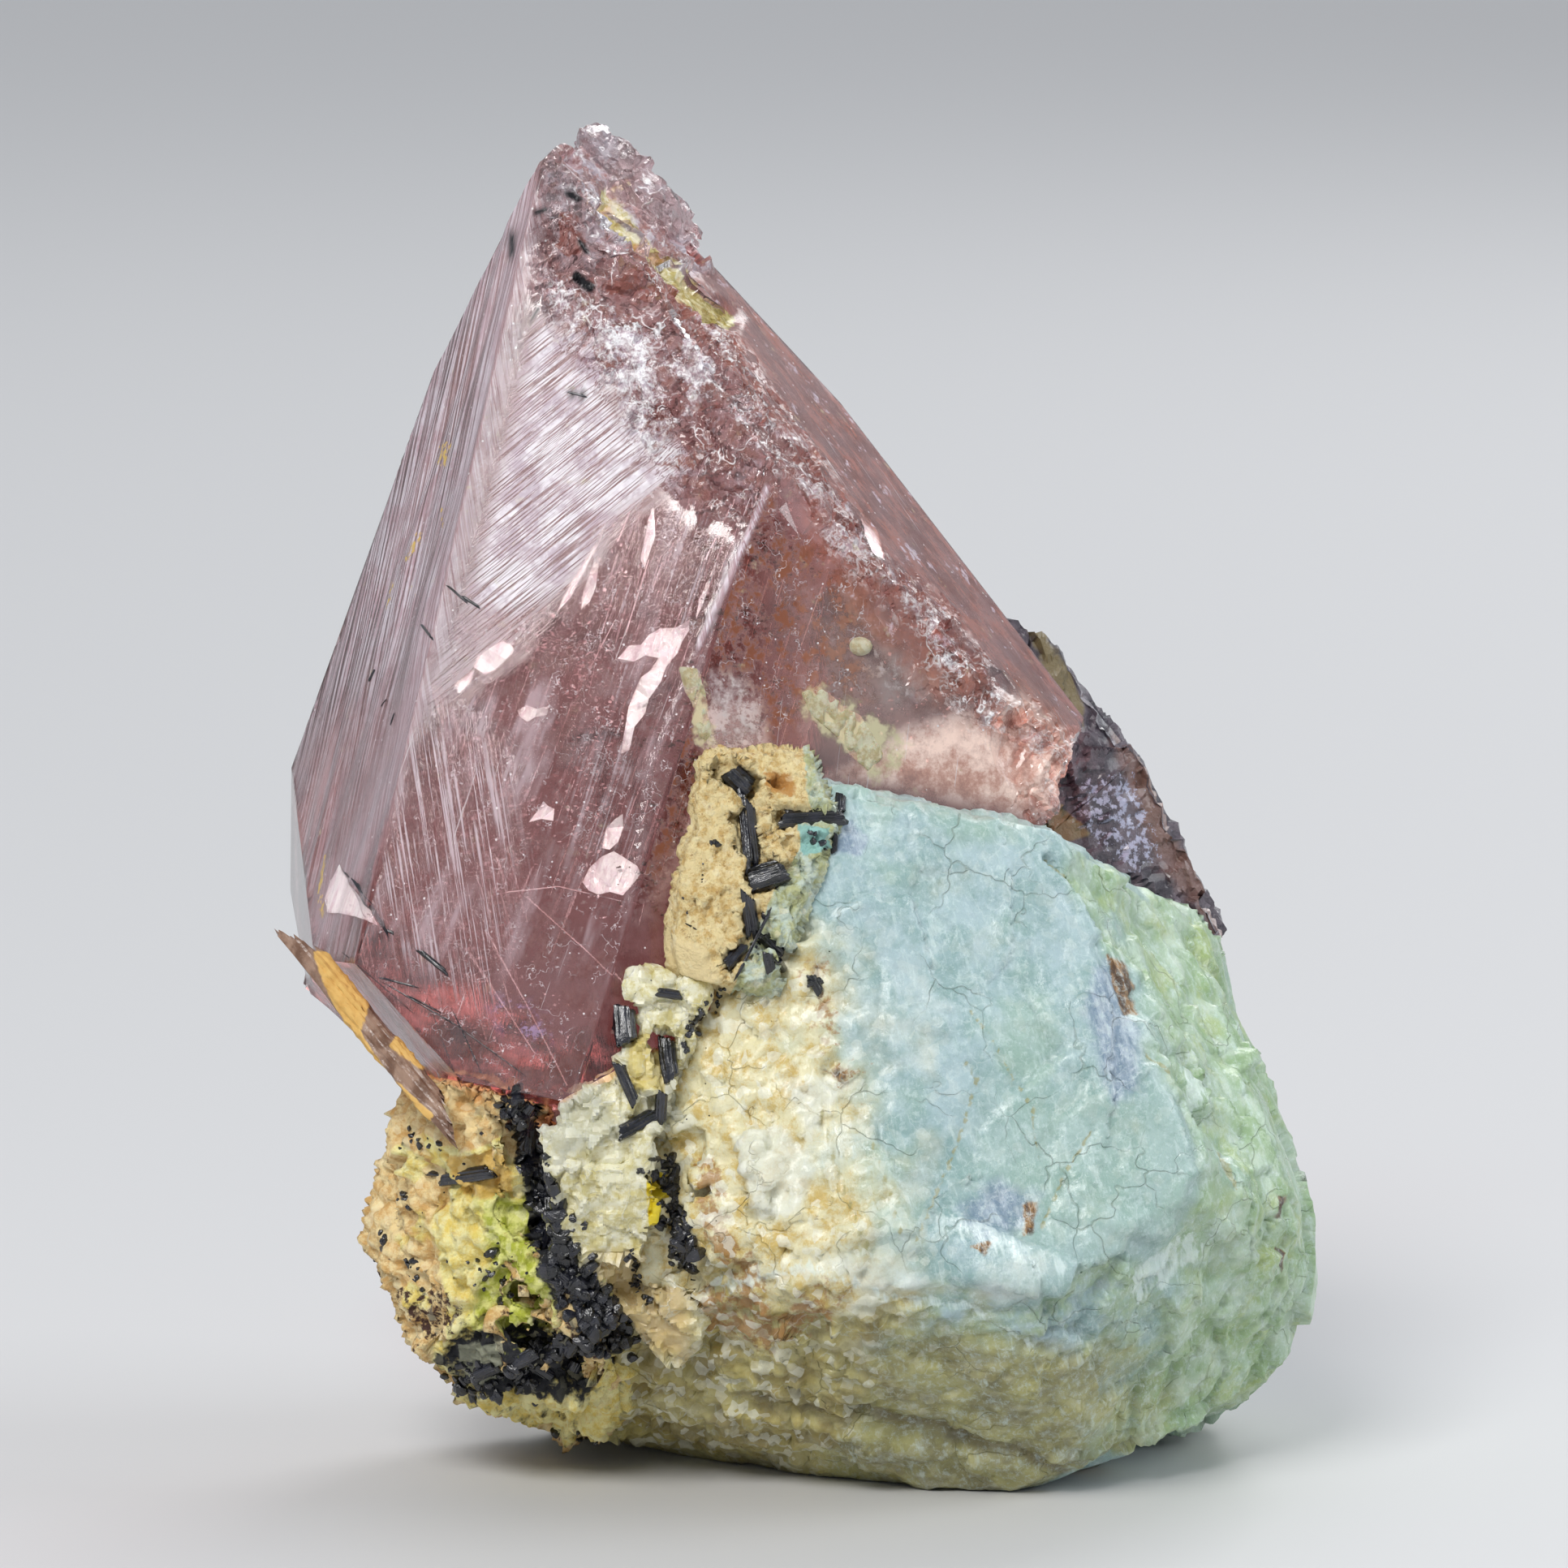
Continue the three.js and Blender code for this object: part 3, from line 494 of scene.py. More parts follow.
tree, taken, given = group("grit", {"Where": None, "Size": 3000.0}, ["Height", "Tone"])
grit = tree
lump = put("TexVoronoi", Vector=taken["Where"], Scale=taken["Size"], Randomness=1.0)
mist = put("TexNoise", Vector=taken["Where"], Scale=taken["Size"], Detail=5.0, Roughness=0.7).outputs["Fac"]
tree.links.new(times(plus(rest(lump.outputs["Distance"]), mist), 0.5), given["Height"])
tree.links.new(put("SeparateColor", Color=lump.outputs["Color"]).outputs[0], given["Tone"])

tree, taken, given = group("hairline_cracks", {"Where": None, "Size": 300.0, "Width": 0.02}, ["Mask"])
hairs = tree
bent = put("TexNoise", Vector=taken["Where"], Scale=taken["Size"], Detail=3.0, Roughness=0.6).outputs["Color"]
reach = sums("DIVIDE", 1.1, taken["Size"])
bent_at = vectors(
    "MULTIPLY_ADD", bent, put("CombineXYZ", X=reach, Y=reach, Z=reach).outputs[0], taken["Where"])
web = put("TexVoronoi", {"feature": "DISTANCE_TO_EDGE"}, Vector=bent_at,
          Scale=taken["Size"]).outputs["Distance"]
line = sums("SUBTRACT", 1.0, sums("DIVIDE", web, taken["Width"]), limit=True)
gaps = put("TexNoise", Vector=taken["Where"], Scale=taken["Size"], Detail=2.0).outputs["Fac"]
tree.links.new(times(line, between(gaps, 0.42, 0.6)), given["Mask"])


def frayed(mask, size, fray=0.6, soft=0.14, at=None):
    """A mask with its edge torn, by as much as fray, in bits that size sets."""
    return placed(
        ragged, Mask=mask, Where=where if at is None else at, Size=size, Fray=fray, Soft=soft)["Mask"]


rock_finish, tree, shader, where = finish_of("feldspar")
cream, lime, slate, brown = masks("hues")
dusty, milk, olive_underside_shade, shelf = masks("marks")
vein, painted_glint, far_right, crevice_shade = masks("lines")
brushed = vectors("MULTIPLY",
                  put("VectorRotate", {"rotation_type": "Y_AXIS"}, Vector=where, Angle=0.25).outputs[0],
                  (3.2, 2.0, 0.5))
grain_lines = put("TexNoise", Vector=brushed, Scale=900.0, Detail=5.0, Roughness=0.7).outputs["Fac"]
tone = tinted((0.25, 0.385, 0.38), (0.40, 0.53, 0.56), between(cloud(2.2, 6, 0.75), 0.38, 0.62))
tone = tinted(tone, (0.34, 0.49, 0.38),
              times(most(between(cloud(4.0, 4), 0.48, 0.70), times(far_right, 0.75)), 0.55))
tone = tinted(tone, (0.33, 0.44, 0.24), times(shelf, between(cloud(2.0, 5, 0.7), 0.36, 0.6), 0.75))
tone = tinted(tone, tinted((0.29, 0.43, 0.21), (0.45, 0.58, 0.43), between(cloud(1.6, 5), 0.4, 0.6)),
              times(frayed(lime, 700.0, soft=0.4), 0.85))
tone = tinted(tone, (0.39, 0.48, 0.16), times(lime, between(cloud(2.6, 5, 0.7), 0.5, 0.64), 0.6))
tone = tinted(tone, tinted((0.62, 0.46, 0.15), (0.76, 0.71, 0.46), between(cloud(1.1, 6, 0.75), 0.38, 0.56)),
              frayed(cream, 420.0, 1.0, 0.46))
# Milky pale patches, with painted glints along the ledge.
tone = tinted(tone, (0.72, 0.76, 0.70), times(frayed(milk, 900.0, 0.9, 0.4), 0.6))
# Olive-brown underside: part stone colour, part painted shade on the faces turned down.
tone = tinted(tone, tinted((0.22, 0.17, 0.04), (0.44, 0.39, 0.13), between(cloud(1.5, 4), 0.38, 0.62)),
              times(frayed(olive_underside_shade, 500.0, 1.0, 0.35), 0.8))
tone = tinted(tone, tinted((0.16, 0.23, 0.33), (0.38, 0.45, 0.55), between(grain_lines, 0.4, 0.62)),
              times(frayed(slate, 900.0, 1.1, 0.4), 0.85))
tone = tinted(tone, (0.33, 0.14, 0.03), times(frayed(times(dusty, 0.62), 2200.0, 1.6), 0.75))
tone = tinted(tone, tinted((0.07, 0.035, 0.015), (0.32, 0.17, 0.05), between(grain_lines, 0.42, 0.6)),
              frayed(brown, 1500.0, 1.0, 0.22))
cracks = placed(hairs, Where=where, Size=330.0, Width=0.012)["Mask"]
fine_cracks = placed(hairs, Where=where, Size=800.0, Width=0.03)["Mask"]
tone = tinted(tone, (0.35, 0.32, 0.12), most(times(cracks, 0.12), times(frayed(vein, 1800.0, 0.9), 0.65)))
tone = tinted(tone, (0.68, 0.78, 0.76), times(fine_cracks, 0.28))
tone = tinted(tone, (0.62, 0.76, 0.74), times(between(grain_lines, 0.54, 0.68), rest(cream), 0.40))
# Painted highlight: the glinting cleavage facets along the ledge, painted pale blue-white.
tone = tinted(tone, (0.80, 0.92, 0.90), times(frayed(times(painted_glint, 0.62), 700.0, 1.7, at=brushed), 0.55))
# Painted shade: the crevice under the lower lip, painted dark.
tone = tinted(tone, (0.14, 0.11, 0.05), times(crevice_shade, 0.85))
tone = tinted(tone, (0.64, 0.76, 0.76), times(between(cloud(0.28, 5, 0.8), 0.50, 0.64), rest(cream), 0.38))
crumbs = placed(grit, Where=where, Size=2600.0)
tone = tinted(tone, (0.84, 0.86, 0.76), times(between(crumbs["Tone"], 0.70, 0.9), graded(cream, 0.10, 0.5)))
height = plus(times(crumbs["Height"], graded(cream, 0.35, 1.0)), times(cloud(0.16, 4), 0.4))
height = plus(less(height, times(cracks, 0.8)), times(grain_lines, 0.7))
bump(shader, height, 0.85, 0.00008)
gloss = graded(cloud(0.9, 4), 0.20, 0.55, 0.3, 0.7)
give(shader, Base_Color=tone, Roughness=less(gloss, times(painted_glint, 0.15)), Subsurface_Weight=0.22,
     Subsurface_Radius=(1.0, 1.0, 0.8), Subsurface_Scale=0.0008, IOR=1.53, Coat_Weight=0.15,
     Coat_Roughness=0.15)
feldspar_rock.data.materials.append(rock_finish)


# ---------------------------------------------------------------------------------------------
# Albite plates. Four thin shards of pale yellow, half clear feldspar between rock and clay,
# cleaved flat, with white edges and a spot of bright yellow rust.
# ---------------------------------------------------------------------------------------------

albite_plates = rough_out("albite", "albite_plates")
knead(albite_plates, 0.12)
meet(albite_plates, ["feldspar_rock", "morganite_crystal", "ochre_clay"], 0.45, 0.3)
place, way = spots(albite_plates), outward(albite_plates)
uv = front(place)
lumpy = patch(uv, [(760, 1200), (880, 1200), (880, 1420), (760, 1400)], 40)
relief = (0.7 * flakes(place, 1.8, 21, 0.28) + 0.5 * flakes(place, 0.7, 24, 0.35)
          + 0.35 * flakes(place, 0.3, 26, 0.4) + lumpy * (0.25 * pebbles(place, 0.8, 22) - 0.1)
          + 0.05 * swell(place, 0.5, 23))
relief -= 0.14 * stroke(uv, [(690, 1545), (760, 1552), (850, 1535)], 9)
settle(albite_plates, place + way * relief[:, None])
smooth(albite_plates, 24)
greyish = np.maximum(patch(uv, [(700, 1230), (720, 1330), (780, 1400), (690, 1430), (640, 1360)], 40),
                     patch(uv, [(810, 1340), (880, 1330), (860, 1480), (800, 1440)], 30))
stain(albite_plates, "hues", greyish, patch(uv, [(795, 1455), (818, 1440), (822, 1500), (800, 1520)], 12),
      patch(uv, [(725, 1548), (850, 1548), (850, 1680), (760, 1660)], 30),
      patch(uv, [(780, 1270), (830, 1280), (820, 1350), (770, 1340)], 30))

albite_finish, tree, shader, where = finish_of("albite")
grey, yolk, tan, straw = masks("hues")
tone = tinted((0.70, 0.62, 0.28), (0.94, 0.91, 0.68), between(cloud(0.7, 6, 0.75), 0.40, 0.58))
tone = tinted(tone, (0.56, 0.58, 0.50), times(frayed(grey, 1300.0, 0.9, 0.3), 0.6))
tone = tinted(tone, (0.74, 0.54, 0.24), times(tan, 0.8))
tone = tinted(tone, (0.72, 0.56, 0.14), times(frayed(straw, 1300.0, 0.9), 0.7))
tone = tinted(tone, (0.82, 0.62, 0.02), frayed(yolk, 2200.0))
cracks = placed(hairs, Where=where, Size=800.0, Width=0.03)["Mask"]
tone = tinted(tone, (0.90, 0.90, 0.78), times(cracks, 0.6))
height = plus(times(cracks, 0.6), cloud(0.22, 5, 0.6))
bump(shader, height, 0.7, 0.00006)
give(shader, Base_Color=tone, Roughness=graded(cloud(0.5, 3), 0.2, 0.45), Subsurface_Weight=0.3,
     Subsurface_Radius=(1.0, 0.95, 0.6), Subsurface_Scale=0.0008, Transmission_Weight=0.15, IOR=1.53)
albite_plates.data.materials.append(albite_finish)


# ---------------------------------------------------------------------------------------------
# Ochre clay. A crumbly lump of iron-stained clay under the pink crystal's left foot: tan at its
# rim, yellow in the middle and yellow-green beside the black seam, with a black band at its base.
# ---------------------------------------------------------------------------------------------

ochre_clay = rough_out("clay", "ochre_clay")
knead(ochre_clay, 0.14)
meet(ochre_clay, ["morganite_crystal", "feldspar_rock", "albite_plates"])
place, way = spots(ochre_clay), outward(ochre_clay)
uv = front(place)
seen = ease(-(way @ AHEAD), -0.1, 0.2)
relief = (0.14 * pebbles(place, 1.1, 31)
          + 0.18 * pebbles(place, 0.5, 32) * ease(swell(place, 1.5, 39), -0.4, 0.4)
          + 0.24 * swell(place, 2.2, 33) + 0.10 * swell(place, 0.4, 34) + 0.6 * flakes(place, 1.4, 30, 0.35)
          + 0.45 * flakes(place, 0.6, 38, 0.45) - 0.24)
relief -= 0.45 * ease(swell(place, 0.8, 35), 0.5, 1.0)
settle(ochre_clay, place + way * relief[:, None])
smooth(ochre_clay)
tan_rim = np.maximum(1 - ease(uv[0] + 30 * swell(place, 1.2, 36), 500, 560),
                     1 - ease(uv[1] + 20 * swell(place, 1.2, 37), 1395, 1440))
green = patch(uv, [(590, 1470), (650, 1480), (690, 1600), (640, 1690), (570, 1640), (600, 1560)], 50)
black_band = np.maximum(
    0.8 * patch(uv, [(545, 1655), (640, 1630), (760, 1660), (740, 1720), (580, 1720), (530, 1685)], 30),
    patch(uv, [(628, 1335), (700, 1380), (725, 1560), (800, 1665), (700, 1670), (655, 1540)], 26))
orange = patch(uv, [(540, 1425), (625, 1420), (635, 1475), (560, 1480)], 30)
brown_specks = patch(uv, [(470, 1580), (560, 1590), (580, 1660), (500, 1660)], 40)
# The third mask is the black band and, as painted shade, the faces turned down.
stain(ochre_clay, "hues", np.maximum(tan_rim, 1 - seen), green * seen,
      np.maximum(black_band * seen, ease(-way[:, 2], 0.3, 0.8) * 0.35), orange * seen)
stain(ochre_clay, "marks", np.maximum(brown_specks, 0.7 * (1 - seen)),
      patch(uv, [(560, 1665), (610, 1660), (620, 1700), (570, 1705)], 14))

clay_finish, tree, shader, where = finish_of("ochre_clay")
buff, moss, black_band_and_shade, amber = masks("hues")
specks, ashy, _, _ = masks("marks")
crumbs = placed(grit, Where=where, Size=2600.0)
tone = tinted((0.80, 0.62, 0.15), (0.92, 0.85, 0.42), between(cloud(0.6, 6, 0.7), 0.38, 0.6))
tone = tinted(tone, tinted((0.66, 0.40, 0.14), (0.90, 0.72, 0.38), between(cloud(0.6, 6, 0.7), 0.38, 0.6)),
              frayed(buff, 900.0, 1.0))
tone = tinted(tone, tinted((0.46, 0.50, 0.05), (0.80, 0.80, 0.26), between(cloud(0.4, 5), 0.4, 0.6)),
              frayed(moss, 1300.0, 1.0, 0.35))
tone = tinted(tone, (0.74, 0.42, 0.08), times(frayed(amber, 1200.0, 1.0), 0.7))
tone = tinted(tone, (0.50, 0.25, 0.06), times(between(cloud(0.55, 6, 0.75), 0.58, 0.72), 0.6))
tone = tinted(tone, (0.055, 0.02, 0.012), frayed(times(specks, 0.5), 2600.0, 1.8))
# Black band at the base, and painted shade on the faces turned down.
tone = tinted(tone, (0.008, 0.009, 0.013), frayed(times(black_band_and_shade, 0.90), 1500.0, 1.3))
tone = tinted(tone, (0.36, 0.37, 0.27), times(frayed(ashy, 2200.0), 0.8))
tone = tinted(tone, (0.92, 0.88, 0.62), times(between(crumbs["Tone"], 0.82, 1.0), 0.35))
height = plus(crumbs["Height"], cloud(0.12, 4, 0.7))
bump(shader, height, 0.9, 0.00009)
give(shader, Base_Color=tone, Roughness=graded(crumbs["Tone"], 0.45, 0.9),
     Subsurface_Weight=0.08, Subsurface_Radius=(1.0, 0.8, 0.4), Subsurface_Scale=0.0004)
ochre_clay.data.materials.append(clay_finish)


# ---------------------------------------------------------------------------------------------
# Ochre crust. A sandy crust baked onto the corner where rock and pink crystal meet. A knob with
# a rusty pit tops it, and its lower left end is a smooth cream skin.
# ---------------------------------------------------------------------------------------------

ochre_crust = rough_out("crust", "ochre_crust")
knead(ochre_crust, 0.11)
meet(ochre_crust, ["morganite_crystal", "feldspar_rock", "schorl_barrel", "schorl_upper", "schorl_hub",
                   "schorl_lower", "schorl_level", "schorl_lodged", "schorl_chip"], 0.5, 0.32)
place, way = spots(ochre_crust), outward(ochre_crust)
uv = front(place)
skin = patch(uv, [(810, 1150), (870, 1165), (895, 1230), (840, 1225)], 24)
relief = ((1 - 0.85 * skin)
          * (0.10 * pebbles(place, 0.5, 41) + 0.11 * pebbles(place, 0.26, 44) + 0.09 * swell(place, 0.9, 42)
             - 0.13 - 0.22 * ease(swell(place, 0.45, 43), 0.6, 1.0)))
relief -= 0.5 * stroke(uv, [(960, 963), (964, 965)], 13, 12)
settle(ochre_crust, place + way * relief[:, None])
smooth(ochre_crust)
rocky = patch(uv, [(990, 915), (1060, 915), (1060, 1300), (860, 1300), (905, 1215), (935, 1140), (958, 1092),
                   (985, 1048), (1000, 1000)], 14)
stain(ochre_crust, "hues", skin, stroke(uv, [(955, 962), (970, 966)], 26, 20),
      patch(uv, [(982, 1014), (1022, 1018), (1028, 1048), (990, 1052)], 12), rocky)

crust_finish, tree, shader, where = finish_of("ochre_crust")
glazed, rusty, teal, rocky = masks("hues")
crumbs = placed(grit, Where=where, Size=4200.0)
tone = tinted((0.62, 0.41, 0.14), (0.86, 0.71, 0.38), between(cloud(0.4, 6, 0.72), 0.36, 0.56))
tone = tinted(tone, (0.30, 0.14, 0.035), times(between(cloud(0.28, 6, 0.8), 0.56, 0.66), 0.8))
tone = tinted(tone, (0.86, 0.70, 0.38), frayed(glazed, 1200.0, 0.5))
tone = tinted(tone, (0.50, 0.20, 0.02), times(frayed(rusty, 2600.0, 1.2), 0.8))
tone = tinted(tone, tinted((0.50, 0.52, 0.26), (0.62, 0.72, 0.62), between(cloud(0.7, 5, 0.7), 0.4, 0.6)),
              frayed(rocky, 1800.0, 0.8))
tone = tinted(tone, (0.30, 0.60, 0.56), times(frayed(teal, 2600.0, 1.0), 0.9))
tone = tinted(tone, (0.95, 0.88, 0.62), times(between(crumbs["Tone"], 0.84, 1.0), 0.4))
height = plus(crumbs["Height"], cloud(0.1, 4, 0.7))
bump(shader, height, 1.0, 0.00010)
give(shader, Base_Color=tone, Roughness=graded(crumbs["Tone"], 0.35, 0.85),
     Subsurface_Weight=0.08, Subsurface_Radius=(1.0, 0.8, 0.4), Subsurface_Scale=0.0004)
ochre_crust.data.materials.append(crust_finish)


# ---------------------------------------------------------------------------------------------
# Pink crystal. One steep prism of morganite beryl, clear red-brown pink, with etched and striated
# faces, narrow bevels along its ridges, a crackled chipped shoulder and a broken right-hand end.
# ---------------------------------------------------------------------------------------------

FACES = {"left": (-0.916, -0.267, 0.298), "front_left": (-0.153, -0.933, 0.325),
         "front_right": (0.372, -0.915, 0.157), "right": (0.733, -0.212, 0.646),
         "lower_left": (-0.751, -0.322, -0.576), "back": (0.049, 0.975, 0.216),
         "back_left": (-0.530, 0.796, 0.291), "back_low": (0.018, 0.984, -0.179),
         "back_right": (0.668, 0.669, 0.325), "foot": (0.482, -0.155, -0.863)}


def bevel_between(piece, pairs, wide, rows=2):
    """Narrow bevels along the ridges where two of the flat faces meet."""
    on_all_faces(piece, bpy.ops.mesh.dissolve_limited, angle_limit=math.radians(0.5))
    on_all_faces(piece, bpy.ops.mesh.select_all, action="DESELECT")
    bpy.context.tool_settings.mesh_select_mode = (False, True, False)
    sides = {}
    for side in piece.data.polygons:
        for key in side.edge_keys:
            sides.setdefault(key, []).append(side.normal)
    orders = [order for a, b in pairs for order in ((a, b), (b, a))]
    for edge in piece.data.edges:
        two = sides.get(tuple(edge.key), [])
        edge.select = len(two) == 2 and any(
            all(side.dot(Vector(slope)) > 0.999 for side, slope in zip(two, order)) for order in orders)
    bpy.ops.object.mode_set(mode="EDIT")
    bpy.ops.mesh.bevel(offset=wide / 1000, segments=rows, affect="EDGES", clamp_overlap=True)
    bpy.ops.object.mode_set(mode="OBJECT")


def fine_mesh(piece, edge, where=None, rounds=9):
    """Halves every edge longer than this, in mm, everywhere or only where asked."""
    on_all_faces(piece, bpy.ops.mesh.quads_convert_to_tris, quad_method="BEAUTY", ngon_method="BEAUTY")
    bpy.context.tool_settings.mesh_select_mode = (False, True, False)
    for _ in range(rounds):
        ends, place = numbers(piece.data.edges, "vertices", 2, np.int32), spots(piece)
        chosen = np.linalg.norm(place[ends[:, 0]] - place[ends[:, 1]], axis=1) > edge
        if where is not None:
            chosen &= where(place, outward(piece))[ends].max(1)
        if not chosen.any():
            break
        bpy.ops.object.mode_set(mode="EDIT")
        bpy.ops.mesh.select_all(action="DESELECT")
        bpy.ops.object.mode_set(mode="OBJECT")
        piece.data.edges.foreach_set("select", chosen)
        bpy.ops.object.mode_set(mode="EDIT")
        bpy.ops.mesh.subdivide(number_cuts=1)
        bpy.ops.mesh.select_all(action="SELECT")
        bpy.ops.mesh.quads_convert_to_tris(quad_method="SHORTEST_DIAGONAL", ngon_method="BEAUTY")
        bpy.ops.object.mode_set(mode="OBJECT")


CRACKLED = [(665, 270), (760, 265), (830, 330), (885, 400), (935, 500), (965, 580), (920, 650), (850, 620),
            (790, 560), (745, 480), (700, 430), (660, 350)]
KNOB = [(668, 200), (735, 145), (785, 165), (855, 280), (875, 335), (820, 345), (780, 300), (740, 330),
        (690, 330), (672, 260)]
GROOVE = [(752, 240), (770, 270), (830, 335), (872, 375), (900, 392)]
SHOULDER = [
    (870, 400), (920, 480), (980, 560), (1060, 690), (1150, 760), (1230, 880), (1315, 935), (1290, 1000)]


def crackled(place, way):
    uv = front(place)
    return ((patch(uv, CRACKLED, 30) + patch(uv, KNOB, 20) + stroke(uv, SHOULDER, 60, 30)
             + patch(uv, [(1100, 760), (1200, 790), (1270, 900), (1200, 960), (1090, 900)], 30) > 0.02)
            & (way @ AHEAD < 0.1))


pink_crystal = rough_out("pink_crystal", "morganite_crystal")
ridges = [(FACES["front_left"], FACES["front_right"]), (FACES["left"], FACES["front_left"])]
bevel_between(pink_crystal, ridges, wide=0.14)
fine_mesh(pink_crystal, 0.5)
fine_mesh(pink_crystal, 0.17, crackled, 3)
place, way = spots(pink_crystal), outward(pink_crystal)
uv = front(place)
seen = ease(-(way @ AHEAD), 0.0, 0.15)
onto = {name: ease(way @ np.array(slope), 0.985, 0.998) for name, slope in FACES.items()}
crush = patch(uv, CRACKLED, 40) * seen
knob = patch(uv, KNOB, 16)
nicks = stroke(uv, SHOULDER, 44, 26)
end = patch(uv, [(1270, 860), (1340, 930), (1320, 1000), (1270, 1015), (1230, 930)], 40)
crazed = 0.7 * patch(uv, [(1120, 770), (1180, 790), (1235, 870), (1190, 900), (1120, 850)], 40) * seen
relief = (crush * (0.55 * flakes(place, 1.2, 51, 0.42) + 0.45 * flakes(place, 0.6, 52, 0.45)
                   + 0.3 * flakes(place, 0.32, 50, 0.5) - 0.12))
relief += knob * (0.6 * flakes(place, 1.5, 53, 0.5) + 0.35 * flakes(place, 0.6, 54, 0.45))
relief += (nicks * (0.5 * flakes(place, 1.0, 55, 0.45) + 0.3 * flakes(place, 0.4, 49, 0.45) - 0.10)
           + end * (0.4 * flakes(place, 1.5, 56, 0.4) + 0.3 * flakes(place, 0.6, 48, 0.3)))
relief += crazed * (0.30 * flakes(place, 0.9, 57, 0.35) + 0.25 * flakes(place, 0.4, 47, 0.35))
relief -= 0.30 * seen * stroke(uv, GROOVE, 22, 20)
rings = np.hypot(uv[0] - 1345, (uv[1] - 960) * 1.3)
relief += end * 0.05 * np.cos(rings * 0.22 + 2 * swell(place, 2.0, 45))
fluted = np.cos((place @ np.array([0.45, -0.89, 0.05])) * 2.6 + 3.0 * swell(place * (1, 1, 0.10), 2.4, 58))
relief += ((onto["left"] + onto["back_left"]) * (0.03 * fluted + 0.06 * swell(place * (1, 1, 0.2), 1.6, 46))
           + onto["front_right"] * 0.02 * swell(place, 1.2, 59))
rear = np.clip(onto["back"] + onto["back_low"] + onto["back_right"] + onto["foot"]
               + ease(-way[:, 2], 0.5, 0.7), 0, 1)
relief += (rear * (0.08 * swell(place * (1, 1, 0.3), 1.8, 60)
                   + 0.40 * flakes(place * (1, 1, 0.4), 3.4, 61, 0.16)
                   + 0.25 * flakes(place * (1, 1, 0.6), 1.4, 63, 0.16)))
hatch = place[:, 0] * 0.62 - place[:, 2] * 0.78
relief += (onto["front_left"] * patch(uv, [(650, 400), (860, 500), (700, 730), (560, 760)], 60) * 0.010
           * np.sin(hatch * 5.2 + 1.8 * swell(place, 1.6, 62)))
settle(pink_crystal, place + way * relief[:, None])
smooth(pink_crystal, 12)
# Painted reflection: the etched upper part of the front-left face, painted silver-white for the light it
# mirrors.
ETCHED_SHEEN = [(655, 392), (700, 392), (750, 420), (790, 520), (850, 545), (865, 575), (760, 640), (700, 725),
          (640, 765), (570, 750), (597, 640), (627, 520)]
etched_sheen = (onto["front_left"] * np.maximum(
              patch(uv, ETCHED_SHEEN, 46),
              0.55 * patch(uv, [(560, 740), (690, 720), (640, 800), (560, 860), (470, 930), (500, 850)], 60)))
frost = np.maximum(np.maximum(onto["left"] * (1 - 0.45 * ease(uv[1], 700, 980)), 0.35 * onto["back_left"]),
                   0.6 * ease(way @ np.array(FACES["lower_left"]), 0.90, 0.97))
iron = (seen * (onto["front_right"] > 0.2) * patch(
            uv, [(860, 630), (950, 590), (1090, 740), (1110, 840), (1010, 890), (920, 940), (800, 1115),
                 (768, 1135), (800, 960), (840, 830)], 60))
stain(pink_crystal, "skin", np.clip(etched_sheen, 0, 1), frost,
      np.clip(crush + knob * (0.35 + 0.65 * seen) + 0.75 * nicks * (0.3 + 0.7 * seen) + 0.8 * crazed, 0, 1),
      iron)
# Painted glow: the broken right-hand end, painted bright peach where light shines through it.
glow = np.maximum(patch(uv,
                        [(1110, 890), (1260, 850), (1340, 930), (1310, 1000), (1270, 1015), (1100, 975),
                         (1010, 960)], 70),
                  0.5 * seen * patch(uv, [(960, 700), (1060, 700), (1240, 880), (1080, 990), (950, 930)], 90))
groove = stroke(uv, GROOVE, 22, 14)
bald = (seen * patch(uv, [(862, 870), (930, 860), (950, 925), (885, 960), (870, 1040), (820, 1095),
                          (785, 1140), (830, 1060), (866, 960)], 16))
pips = (stroke(uv, [(700, 238), (715, 244)], 12) + stroke(uv, [(660, 262), (672, 258)], 8)
        + stroke(uv, [(632, 290), (630, 315)], 9) + stroke(uv, [(716, 296), (722, 306)], 12)
        + stroke(uv, [(655, 395), (663, 380)], 6) + stroke(uv, [(710, 340), (725, 352)], 16)
        + stroke(uv, [(702, 484), (722, 488)], 8))
stain(pink_crystal, "body", glow, groove * seen, bald, np.clip(pips * seen, 0, 1))
ridge = (seen * (stroke(uv, [(947, 600), (930, 640), (890, 730), (862, 792)], 8, 8)
                 + 0.35 * stroke(uv, [(862, 792), (848, 830), (800, 950), (772, 1130)], 6, 8)
                 + 0.6 * stroke(uv, [(655, 250), (600, 520), (545, 750), (480, 960), (398, 1140)], 44, 44)))
brown = (seen * (patch(uv, [(688, 262), (716, 258), (722, 300), (700, 318), (682, 300)], 14)
                 + 0.6 * patch(uv, [(740, 335), (800, 330), (830, 350), (800, 372), (750, 360)], 16)))
ochre = (onto["left"]
         * (stroke(uv, [(518, 655), (512, 675), (502, 692)], 7, 9)
            + stroke(uv, [(541, 628), (544, 648)], 4, 6) + stroke(uv, [(486, 712), (480, 742)], 5, 8)
            + stroke(uv, [(506, 722), (510, 730)], 4, 6)
            + patch(uv, [(540, 540), (556, 545), (550, 580), (536, 575)], 10)
            + stroke(uv, [(400, 1050), (394, 1090), (396, 1130)], 8, 10)))
stain(pink_crystal, "trace", np.clip(ridge, 0, 1), np.clip(brown, 0, 1), np.clip(ochre, 0, 1), rear)
lined = (onto["front_left"] * patch(uv, [(470, 900), (560, 860), (640, 960), (640, 1120), (600, 1250),
                                         (480, 1180), (430, 1060)], 80))
